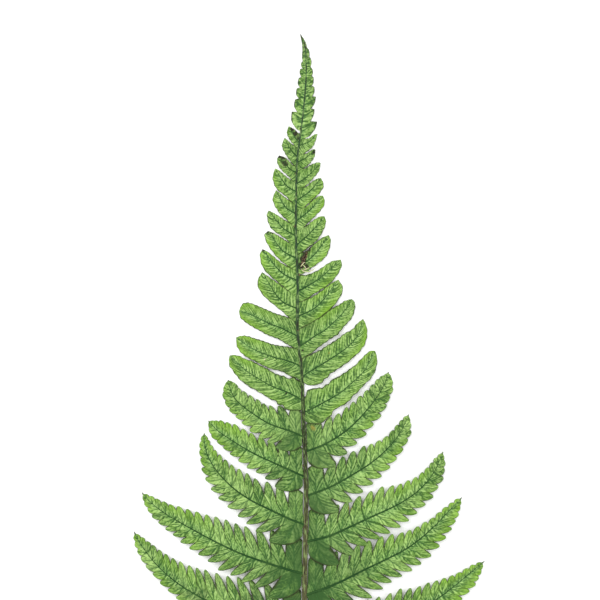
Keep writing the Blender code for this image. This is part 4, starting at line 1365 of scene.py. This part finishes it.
def blade_material(colours):
    """Leaf flesh in streaks that lean out from each vein, with a dry margin, stains and dead patches.

    The streaks are partly painted shade and highlight of the relief, with a painted sheen along the ribs and
    painted shade beside the stalk.
    """
    material, shader, graph = new_material("leaf_blade", 0.65, 0.12)
    place = graph.place()
    drift = graph.minus(graph.noise(DRIFT_NOISE, 2.0, place), 0.5)
    lobe = graph.plus(graph.attribute("lobe"), graph.times(drift, LOBE_DRIFT))
    reach, tone = graph.attribute("reach"), graph.attribute("tone")

    def mark(colour, name, value):
        """Lays one kind of mark over a colour, where its value is high."""
        low, high, strength, other = LEAF_MARKS[name]
        return graph.stain(colour, graph.between(value, low, high), strength, getattr(colours, other))

    # 0 on a vein and 1 half way to the next one
    aside = graph.math("ABSOLUTE", graph.minus(graph.times(graph.math("FRACT", lobe), 2.0), 1.0))
    vein = graph.times(graph.between(aside, 0.16, 0.02), graph.between(reach, 0.95, 0.4))

    # streaks, partly veinlets and partly painted shade and highlight of the relief: even waves between the
    # veinlets, long strands beside them, and fine grain
    turns = graph.plus(graph.attribute("streak"), graph.times(drift, STREAK_DRIFT))
    wave = graph.math("COSINE", graph.times(turns, 2.0 * math.pi))
    half = graph.math("FLOOR", graph.times(lobe, 2.0))
    strand = graph.node(
        "ShaderNodeCombineXYZ",
        {
            0: graph.times(turns, 2.3),
            1: graph.times(reach, 1.2),
            2: graph.plus(graph.attribute("seed"), graph.times(half, 1.37)),
        },
    )
    streak = graph.minus(graph.noise(1.0, 2.0, strand.outputs[0]), 0.5)
    patches = graph.noise(PATCH_NOISE, 3.0, place)
    grain = graph.noise(GRAIN_NOISE, 3.0, place)
    broad = graph.noise(BROAD_NOISE, 2.0, place)
    score = graph.plus(graph.times(wave, 0.20), graph.times(streak, 4.2))
    score = graph.plus(score, graph.times(graph.minus(grain, 0.5), 2.4))
    dark, bright = graph.between(score, -0.10, 0.55), graph.between(score, -0.10, -0.80)

    # flesh: green in patches, a painted sheen along the ribs, duller where it dried dark, fresher outwards
    colour = mark(colours.middle, "patch", patches)
    # painted sheen along the ribs, in broad patches
    near = graph.times(graph.between(reach, 0.50, 0.02), graph.between(broad, 0.3, 0.6))
    colour = graph.stain(colour, near, 0.45, colours.rib_sheen)
    uneven = graph.times(graph.minus(patches, 0.5), 2.6)
    dull = graph.between(graph.plus(graph.attribute("dull"), uneven), 0.50, 1.25)
    colour = graph.stain(colour, dull, 0.60, colours.dull)
    # dark and light streaks: the veinlets' own colour, deepened and lightened as painted shade and highlight
    # of the relief
    colour = graph.stain(colour, dark, 0.95, colours.deep)
    strong = graph.minus(0.84, graph.times(dull, 0.35))
    colour = graph.stain(colour, bright, strong, colours.light)
    freshness = graph.times(graph.attribute("warm"), graph.between(broad, 0.35, 0.62))
    freshness = graph.times(freshness, graph.between(reach, 0.1, 0.9))
    colour = graph.stain(colour, freshness, 0.72, colours.fresh)

    # a lobe's own tone, its vein, the shade beside the stalk and the dry rim
    colour = graph.mix(graph.times(tone, 0.30, clamp=True), colour, colours.deep)
    colour = graph.mix(graph.times(tone, -0.25, clamp=True), colour, colours.light)
    colour = graph.stain(colour, vein, 0.60, colours.vein)
    shade = graph.times(graph.attribute("shade"), graph.between(patches, 0.05, 0.60))
    colour = graph.mix(shade, colour, colours.deep)
    colour = mark(colour, "rim", graph.plus(graph.attribute("rim"), graph.times(drift, RIM_DRIFT)))

    # marks, and the paler underside
    colour = mark(colour, "rust", graph.plus(graph.attribute("rust"), graph.times(drift, RUST_DRIFT)))
    ragged = graph.times(graph.minus(graph.noise(RAGGED_NOISE, 3.0, place), 0.5), BLIGHT_RAGGED)
    colour = mark(colour, "blight", graph.plus(graph.attribute("blight"), ragged))
    colour = mark(colour, "bleach", graph.attribute("bleach"))
    colour = graph.stain(colour, graph.attribute("under"), 0.35, colours.light)

    height = graph.minus(graph.times(grain, 0.35), graph.times(dark, 0.5))
    height = graph.minus(height, graph.times(vein, 0.8))
    finish_material(graph, shader, colour, height, 0.7, 0.00022)
    return material


def rib_material(name, colour, other, roughness):
    """Fibrous green of the ribs and veins."""
    material, shader, graph = new_material(name, roughness, 0.12)
    place = graph.place()
    tone = graph.between(graph.noise(240.0, 2.0, place), 0.35, 0.7)
    fibre = graph.noise(2200.0, 2.0, place)
    finish_material(graph, shader, graph.mix(tone, colour, other), fibre, 0.3, 0.00005)
    return material


def stalk_material(colours):
    """The stalk turns from dark green near the tip to brown, and to straw at the bare stipe.

    Its ridges carry a painted highlight.
    """
    material, shader, graph = new_material("stalk_skin", 0.7, 0.08)
    place = graph.place()
    parts = graph.node("ShaderNodeSeparateXYZ", {0: place})
    along = graph.plus(parts.outputs["Y"], graph.times(graph.noise(60.0, 2.0, place), STALK_TURNS_DRIFT))
    colour = colours.stalk_top
    for name, start, end in STALK_TURNS:
        colour = graph.mix(graph.between(along, start, end), colour, getattr(colours, name))
    strands = graph.node("ShaderNodeMapping", {"Vector": place, "Scale": STALK_STRANDS})
    fibre = graph.noise(1.0, 3.0, strands.outputs["Vector"])
    colour = graph.stain(colour, graph.between(fibre, 0.5, 0.66), 0.34, colours.light)
    colour = graph.stain(colour, graph.between(fibre, 0.5, 0.30), 0.75, colours.blight)
    # painted highlight along the ridges beside the groove
    colour = graph.stain(colour, graph.attribute("ridge"), 0.10, colours.pith)
    specks = graph.between(graph.noise(700.0, 2.0, place), 0.70, 0.76)
    colour = graph.stain(colour, specks, 0.8, colours.blight)
    colour = graph.mix(graph.attribute("pith"), colour, colours.pith)
    finish_material(graph, shader, colour, fibre, 0.4, 0.00008)
    return material


def plain_tissue(name, colour, other):
    """Torn tissue or dry scales, mottled between two colours."""
    material, shader, graph = new_material(name, 0.75, 0.12)
    mottle = graph.noise(1400.0, 3.0)
    mixed = graph.mix(graph.between(mottle, 0.46, 0.64), colour, other)
    finish_material(graph, shader, mixed, mottle, 0.4, 0.00006)
    return material


def stalk_rise(stations):
    """Radius of the stalk and height of its middle, at rows of x, y and radius."""
    share = np.interp(stations[:, 1], STALK_WIDTH_AT, STALK_WIDTH)
    radii = stations[:, 2] / 1000.0
    return radii * share, radii * (FLAT_SHARE + RAISED_WHERE_SLIM * np.maximum(0.0, 1.0 - share))


def stalk_mesh():
    """The rachis and stipe: a grooved round stalk, flat underneath, from the cut end to the frond's tip."""
    tip_spots = tuple(reversed(APEX_SPINE)) + (APEX_TIP,)
    tip_run = tuple((*spot, radius) for spot, radius in zip(tip_spots, STALK_TIP_RADII))
    stations = smooth_path(RACHIS + tip_run, STALK_POINTS)
    angles = np.linspace(0.0, 2.0 * math.pi, STALK_SIDES, endpoint=False)
    from_top = angles - 0.5 * math.pi
    narrower = 1.0 - STALK_GROOVE_DEPTH * np.exp(-((from_top / STALK_GROOVE_WIDTH) ** 2))
    # where the painted highlight lies: on the ridges beside the groove
    ridge = np.exp(-(((np.abs(from_top) - STALK_RIDGE_AT) / STALK_RIDGE_WIDTH) ** 2))
    flat = plan(stations[:, :2])
    radii, middle_heights = stalk_rise(stations)
    step = np.gradient(flat, axis=0)
    step /= np.linalg.norm(step, axis=1, keepdims=True)
    aside = np.stack([step[:, 1], -step[:, 0]], axis=1)
    out = radii[:, None] * (np.cos(angles) * narrower)[None]
    up = radii[:, None] * (np.sin(angles) * narrower)[None]
    xy = flat[:, None] + aside[:, None] * out[..., None]
    z = np.maximum(middle_heights[:, None] + up, 0.0) + ABOVE_FLOOR
    rings = np.concatenate([xy, z[..., None]], axis=-1)
    points = rings.reshape(-1, 3).tolist()
    around = [(j, (j + 1) % STALK_SIDES) for j in range(STALK_SIDES)]
    faces = []
    for first in range(0, len(points) - STALK_SIDES, STALK_SIDES):
        second = first + STALK_SIDES
        faces.extend((first + a, second + a, second + b, first + b) for a, b in around)
    pith = [np.zeros(len(points))]

    # the cut end: the skin's rim, then a slightly sunken face of pith
    middle = rings[0].mean(axis=0)
    before = 0
    for share, sunk, pale in CUT_RINGS:
        first = len(points)
        inset = middle + (rings[0] - middle) * share + np.array([*step[0], 0.0]) * sunk
        points.extend(inset.tolist())
        faces.extend((before + a, before + b, first + b, first + a) for a, b in around)
        pith.append(np.full(STALK_SIDES, pale))
        before = first
    faces.append(tuple(range(before, before + STALK_SIDES)))
    last = (len(stations) - 1) * STALK_SIDES
    faces.append(tuple(reversed(range(last, last + STALK_SIDES))))
    mesh = bpy.data.meshes.new("stalk")
    mesh.from_pydata(points, [], faces)
    plain_end = np.zeros(len(CUT_RINGS) * STALK_SIDES)
    ridges = np.concatenate([np.tile(ridge, len(stations)), plain_end])
    paint_points(mesh, {"pith": np.concatenate(pith), "ridge": ridges})
    shade_smooth(mesh, 40.0)
    return mesh


def stalk_path():
    """Points along the top of the stalk, with its radius, in metres."""
    stations = smooth_path(RACHIS, SCALE_PATH_POINTS)
    radii, middle_heights = stalk_rise(stations)
    return np.column_stack([plan(stations[:, :2]), middle_heights + radii]), radii


def wire(name, lines):
    """A curve object with one open line for each list of points and radii."""
    curve = bpy.data.curves.new(name, "CURVE")
    curve.dimensions = "3D"
    for points, radii in lines:
        spline = curve.splines.new("POLY")
        spline.points.add(len(points) - 1)
        for target, point, radius in zip(spline.points, points, radii):
            target.co = (*point, 1.0)
            target.radius = radius
    holder = bpy.data.objects.new(name, curve)
    bpy.context.scene.collection.objects.link(holder)
    return holder


def tree_with(name, sockets):
    """A geometry tree with a geometry input and output and the named value inputs."""
    tree = bpy.data.node_groups.new(name, "GeometryNodeTree")
    tree.interface.new_socket("Geometry", in_out="INPUT", socket_type="NodeSocketGeometry")
    for socket_name, kind in sockets:
        tree.interface.new_socket(socket_name, in_out="INPUT", socket_type=kind)
    tree.interface.new_socket("Geometry", in_out="OUTPUT", socket_type="NodeSocketGeometry")
    return tree, Graph(tree), tree.nodes.new("NodeGroupInput"), tree.nodes.new("NodeGroupOutput")


def close_tree(graph, geometry, material, out):
    """Realizes the instances, sets the material and ends the tree."""
    real = graph.node("GeometryNodeRealizeInstances", {"Geometry": geometry})
    dressed = graph.node("GeometryNodeSetMaterial", {"Geometry": real.outputs[0]})
    graph.feed(dressed.inputs["Material"], material)
    graph.feed(out.inputs[0], dressed.outputs[0])


def tube_tree():
    """Round tubes along every line of a curve, as thick as the line's own radius."""
    sockets = (
        ("Sides", "NodeSocketInt"),
        ("Thickness", "NodeSocketFloat"),
        ("Material", "NodeSocketMaterial"),
    )
    tree, graph, given, out = tree_with("Tubes Along Lines", sockets)
    circle = {"Resolution": given.outputs["Sides"], "Radius": 1.0}
    profile = graph.node("GeometryNodeCurvePrimitiveCircle", circle)
    radius = graph.node("GeometryNodeInputRadius")
    swept = graph.node(
        "GeometryNodeCurveToMesh",
        {
            "Curve": given.outputs["Geometry"],
            "Profile Curve": profile.outputs["Curve"],
            "Scale": graph.times(radius.outputs[0], given.outputs["Thickness"]),
            "Fill Caps": True,
        },
    )
    smooth = graph.node("GeometryNodeSetShadeSmooth", {"Geometry": swept.outputs["Mesh"]})
    close_tree(graph, smooth.outputs["Geometry"], given.outputs["Material"], out)
    return tree


def scale_tree():
    """Small pointed scales, scattered at random along a line and turned at random round its top."""
    sockets = (
        ("Count", "NodeSocketInt"),
        ("Length", "NodeSocketFloat"),
        ("Width", "NodeSocketFloat"),
        ("Seed", "NodeSocketInt"),
        ("Material", "NodeSocketMaterial"),
    )
    tree, graph, given, out = tree_with("Scattered Scales", sockets)
    line = {"Curve": given.outputs["Geometry"], "Count": given.outputs["Count"]}
    spots = graph.node("GeometryNodeCurveToPoints", line, mode="COUNT")
    cone = graph.node(
        "GeometryNodeMeshCone",
        {
            "Vertices": SCALE_SIDES,
            "Radius Top": 0.0,
            "Radius Bottom": given.outputs["Width"],
            "Depth": given.outputs["Length"],
        },
    )
    flat = graph.node("GeometryNodeTransform", {"Geometry": cone.outputs["Mesh"], "Scale": SCALE_SHAPE})

    def draw(kind, limits, offset):
        """A random value between two limits, on a seed of its own."""
        seed = graph.plus(given.outputs["Seed"], float(offset))
        made = graph.node("FunctionNodeRandomValue", data_type=kind)
        names = ("Min", "Max") if kind == "FLOAT_VECTOR" else ("Min_001", "Max_001")
        for socket in made.inputs:
            if socket.identifier in names:
                socket.default_value = limits[names.index(socket.identifier)]
        graph.feed(made.inputs["Seed"], seed)
        return next(s for s in made.outputs if s.enabled)

    step = draw("FLOAT_VECTOR", SCALE_STEPS, 0)
    moved = graph.node("GeometryNodeSetPosition", {"Geometry": spots.outputs["Points"], "Offset": step})
    placed = graph.node(
        "GeometryNodeInstanceOnPoints",
        {
            "Points": moved.outputs["Geometry"],
            "Instance": flat.outputs["Geometry"],
            "Rotation": draw("FLOAT_VECTOR", SCALE_TURNS, 1),
            "Scale": draw("FLOAT", SCALE_SIZES, 2),
        },
    )
    close_tree(graph, placed.outputs["Instances"], given.outputs["Material"], out)
    return tree


def grow(holder, tree, values):
    """Runs a geometry tree on an object and puts a plain mesh piece in its place."""
    modifier = holder.modifiers.new("grow", "NODES")
    modifier.node_group = tree
    for item in tree.interface.items_tree:
        if item.item_type == "SOCKET" and item.in_out == "INPUT" and item.name in values:
            modifier[item.identifier] = values[item.name]
    bpy.context.view_layer.update()
    mesh = bpy.data.meshes.new_from_object(holder.evaluated_get(bpy.context.evaluated_depsgraph_get()))
    name = holder.name
    source = holder.data
    holder.modifiers.remove(modifier)
    bpy.data.objects.remove(holder)
    bpy.data.curves.remove(source)
    piece = bpy.data.objects.new(name, mesh)
    mesh.name = name
    bpy.context.scene.collection.objects.link(piece)
    return belongs(piece)


def taper(count, base, tip):
    """Radii of a line that gets thinner from its base to its tip."""
    return base + (tip - base) * np.linspace(0.0, 1.0, count) ** TAPER_POWER


def vein_lines(surface, lift, base, tip):
    """Lines over the upper face of a blade, along its stored veins."""
    spots, heights = surface.arrays()
    lines = []
    for numbers in surface.veins:
        points = np.column_stack([plan(spots[numbers]), heights[numbers] + lift])
        lines.append((points, taper(len(points), base, tip)))
    return lines


def rib_line(spots, heights, base, tip, shape):
    """A line along a pinna's rib, laid into the upper face of the blade."""
    heights = np.maximum(heights + wave_height(spots, shape.wave), TIP_CLEARANCE)
    points = np.column_stack([plan(spots), heights])
    return points, taper(len(points), base, tip)


class FERN_OT_blades(bpy.types.Operator):
    """Builds the apex and the pinnae, with the ribs and veins that run in them"""

    bl_idname = "fern.blades"
    bl_label = "Blades, Ribs and Veins"

    def execute(self, context):
        shape, colours = context.scene.frond_shape, context.scene.frond_colours
        leaf = blade_material(colours)
        ribs, veins = [], []

        surface, tooth_veins = apex_surface(shape)
        joined_blades("apex", [surface], shape, leaf)
        for start, point in tooth_veins:
            spots = start + (point - start) * np.linspace(0.0, TOOTH_VEIN_END, TOOTH_VEIN_POINTS)[:, None]
            heights = np.full(TOOTH_VEIN_POINTS, APEX_SPINE_HEIGHT + TOOTH_VEIN_LIFT)
            veins.append(rib_line(spots, heights, *TOOTH_VEIN_RADIUS, shape))

        rows_by_side = (("left", SIMPLE_LEFT, EVEN_LEFT), ("right", SIMPLE_RIGHT, EVEN_RIGHT))
        for side, simple_rows, even_rows in rows_by_side:
            simple_seed, even_seed, _ = SEEDS[side]
            simple = [PlainPinna(row, SIMPLE_VEINS, False) for row in simple_rows]
            surfaces = [plain_surface(pinna, shape, simple_seed + k) for k, pinna in enumerate(simple)]
            joined_blades(f"simple_pinnae_{side}", surfaces, shape, leaf)
            even = [PlainPinna(row, EVEN_VEINS, True) for row in even_rows]
            for k, pinna in enumerate(even):
                surface = plain_surface(pinna, shape, even_seed + k)
                joined_blades(f"even_pinna_{side}_{k + 1}", [surface], shape, leaf)
            for pinna in simple + even:
                ribs.append(self.plain_rib(pinna, shape))
                veins.extend(self.plain_veins(pinna, shape))

        for side, rows in (("left", LOBED_LEFT), ("right", LOBED_RIGHT)):
            for k, row in enumerate(rows):
                surface, pinna = lobed_surface(row, shape, SEEDS[side][2] + k)
                joined_blades(f"lobed_pinna_{side}_{k + 1}", [surface], shape, leaf)
                ribs.append(self.lobed_rib(pinna, shape))
                lift = LOBED_VEIN_LIFT * shape.blade_thickness
                tip = LOBED_VEIN_TIP * shape.vein_base
                veins.extend(vein_lines(surface, lift, shape.vein_base, tip))
        dead = plain_tissue("torn_skin", colours.blight, colours.torn)
        joined_blades("torn_skin", [torn_patch(shape)], shape, dead)

        tubes, sides = tube_tree(), shape.tube_sides
        cream = plain_tissue("pale_shred", colours.pith, colours.light)
        green = rib_material("rib_green", colours.rib, colours.deep, 0.5)
        pale = rib_material("vein_green", colours.vein, colours.deep, 0.6)
        shreds = [self.shred(points) for points in TORN_SHREDS]
        grow(wire("torn_shreds", shreds), tubes, {"Sides": sides, "Thickness": 1.0, "Material": cream})
        grow(wire("ribs", ribs), tubes, {"Sides": sides + 2, "Thickness": 1.0, "Material": green})
        grow(wire("veins", veins), tubes, {"Sides": sides - 1, "Thickness": 1.0, "Material": pale})
        return {"FINISHED"}

    def shred(self, points):
        """A thin pale fibre of torn tissue that lies over the blade."""
        spots = smooth_path(points, SHRED_POINTS)
        start, end = SHRED_ENDS
        radii = SHRED_RADIUS * np.sin(np.linspace(start, math.pi - end, SHRED_POINTS))
        heights = np.full(SHRED_POINTS, TORN_HEIGHT + SHRED_LIFT)
        return np.column_stack([plan(spots), heights]), radii

    def lobed_rib(self, pinna, shape):
        """The rib of a lobed pinna, thicker on a longer one."""
        distance = np.linspace(0.0, pinna.length * LOBED_RIB_END, LOBED_RIB_POINTS)
        heights = rib_height(distance / pinna.length, pinna.start_height, pinna.length * GRID)
        heights = heights + LOBED_RIB_LIFT
        share = min(1.0, LOBED_RIB_LEAST + pinna.length / LOBED_RIB_FULL_LENGTH)
        return rib_line(pinna.at(distance), heights, shape.rib_base * share, shape.rib_tip, shape)

    def plain_rib(self, pinna, shape):
        """The rib of an undivided pinna, thicker on a longer one."""
        s = np.linspace(0.0, PLAIN_RIB_END, PLAIN_RIB_POINTS)
        heights = rib_height(s, pinna.start, pinna.length) + PLAIN_RIB_LIFT
        share = PLAIN_RIB_LEAST + PLAIN_RIB_MORE * min(1.0, pinna.length / PLAIN_RIB_FULL_LENGTH)
        base, tip = shape.rib_base * share, shape.rib_tip * PLAIN_RIB_TIP
        return rib_line(pinna.on(pinna.rib, s), heights, base, tip, shape)

    def plain_veins(self, pinna, shape):
        """Veins that leave the rib of an undivided pinna and lean forward to its edge."""
        lines = []
        radii = [shape.vein_base * share for share in PLAIN_VEIN_RADIUS]
        for side in (1.0, -1.0):
            for k in range(pinna.veins):
                t = np.linspace(0.0, PLAIN_VEIN_END, PLAIN_VEIN_POINTS)
                s = (k + 0.5) / pinna.veins + PLAIN_LEAN[side] * t**PLAIN_BEND
                s, t = s[s < PLAIN_VEINS_STOP], t[s < PLAIN_VEINS_STOP]
                if len(s) > 2:
                    heights = pinna.height(s, t, side) + PLAIN_VEIN_LIFT * shape.blade_thickness
                    spots = pinna.spots(s, t, side)
                    lines.append(rib_line(spots, heights, *radii, shape))
        return lines


class FERN_OT_stalk(bpy.types.Operator):
    """Builds the rachis and stipe, with the small dry scales on them"""

    bl_idname = "fern.stalk"
    bl_label = "Stalk and Scales"

    def execute(self, context):
        shape, colours = context.scene.frond_shape, context.scene.frond_colours
        stalk = bpy.data.objects.new("stalk", stalk_mesh())
        context.scene.collection.objects.link(stalk)
        stalk.data.materials.append(stalk_material(colours))
        belongs(stalk)
        points, radii = stalk_path()
        dry = plain_tissue("dry_scale", colours.blight, colours.stalk_base)
        values = {
            "Count": shape.scale_count,
            "Length": shape.scale_length,
            "Width": shape.scale_width,
            "Seed": SCALE_SEED,
            "Material": dry,
        }
        grow(wire("stalk_scales", [(points, radii)]), scale_tree(), values)
        return {"FINISHED"}


class FERN_OT_stage(bpy.types.Operator):
    """Sets the floor, the light and the camera that looks straight down"""

    bl_idname = "fern.stage"
    bl_label = "Floor, Light and Camera"

    def execute(self, context):
        stage = context.scene.frond_stage
        material, shader, _ = new_material("floor_white", 0.9, 0.1)
        shader.inputs["Base Color"].default_value = (*stage.floor, 1.0)
        floor_mesh = bpy.data.meshes.new("floor")
        signs = ((-1, -1), (1, -1), (1, 1), (-1, 1))
        corners = [(x * FLOOR_HALF, y * FLOOR_HALF, FLOOR_HEIGHT) for x, y in signs]
        floor_mesh.from_pydata(corners, [], [(0, 1, 2, 3)])
        floor_mesh.materials.append(material)
        floor = bpy.data.objects.new("floor", floor_mesh)
        context.scene.collection.objects.link(floor)
        floor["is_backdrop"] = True

        world = bpy.data.worlds.new("soft_world")
        world.use_nodes = True
        background = world.node_tree.nodes["Background"]
        background.inputs["Color"].default_value = (1.0, 1.0, 1.0, 1.0)
        background.inputs["Strength"].default_value = stage.world_light
        context.scene.world = world
        self.lamp(context, "key", *KEY_LAMP, stage.key_light)
        self.lamp(context, "fill", *FILL_LAMP, stage.fill_light)

        lens = bpy.data.cameras.new("camera")
        lens.lens = stage.lens
        camera = bpy.data.objects.new("camera", lens)
        distance = VIEW_WIDTH * GRID * lens.lens / lens.sensor_width
        camera.location = (*plan(VIEW_CENTRE), distance + CAMERA_EXTRA)
        context.scene.collection.objects.link(camera)
        context.scene.camera = camera
        context.scene.view_settings.view_transform = "Standard"
        return {"FINISHED"}

    def lamp(self, context, name, place, size, power):
        """A large square lamp that aims at the frond."""
        data = bpy.data.lights.new(name, "AREA")
        data.size = size
        data.energy = power
        lamp = bpy.data.objects.new(name, data)
        lamp.location = place
        aim = Vector(LAMPS_AIM) - lamp.location
        lamp.rotation_euler = aim.to_track_quat("-Z", "Y").to_euler()
        context.scene.collection.objects.link(lamp)


class FERN_PT_panel(bpy.types.Panel):
    """Lists the frond's sizes and colours, and the buttons that build its pieces"""

    bl_idname = "FERN_PT_panel"
    bl_label = "Fern Frond"
    bl_space_type = "VIEW_3D"
    bl_region_type = "UI"
    bl_category = "Fern"

    def draw(self, context):
        for group in (context.scene.frond_shape, context.scene.frond_colours, context.scene.frond_stage):
            box = self.layout.box()
            for name in group.bl_rna.properties.keys():
                if name not in ("rna_type", "name"):
                    box.prop(group, name)
        for operator in OPERATORS:
            self.layout.operator(operator.bl_idname)


OPERATORS = (FERN_OT_blades, FERN_OT_stalk, FERN_OT_stage)
GROUPS = {"frond_shape": FrondShape, "frond_colours": FrondColours, "frond_stage": FrondStage}


def register():
    for name, group in GROUPS.items():
        bpy.utils.register_class(group)
        setattr(bpy.types.Scene, name, bpy.props.PointerProperty(type=group))
    for operator in OPERATORS:
        bpy.utils.register_class(operator)
    bpy.utils.register_class(FERN_PT_panel)


def unregister():
    bpy.utils.unregister_class(FERN_PT_panel)
    for operator in reversed(OPERATORS):
        bpy.utils.unregister_class(operator)
    for name, group in reversed(GROUPS.items()):
        delattr(bpy.types.Scene, name)
        bpy.utils.unregister_class(group)


def main():
    register()
    bpy.ops.fern.blades()
    bpy.ops.fern.stalk()
    bpy.ops.fern.stage()
    boxes = {"cad": CAD_BOX, "visual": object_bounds()}
    sizes = {name: [[float(c) for c in corner] for corner in box] for name, box in boxes.items()}


if __name__ == "__main__":
    main()
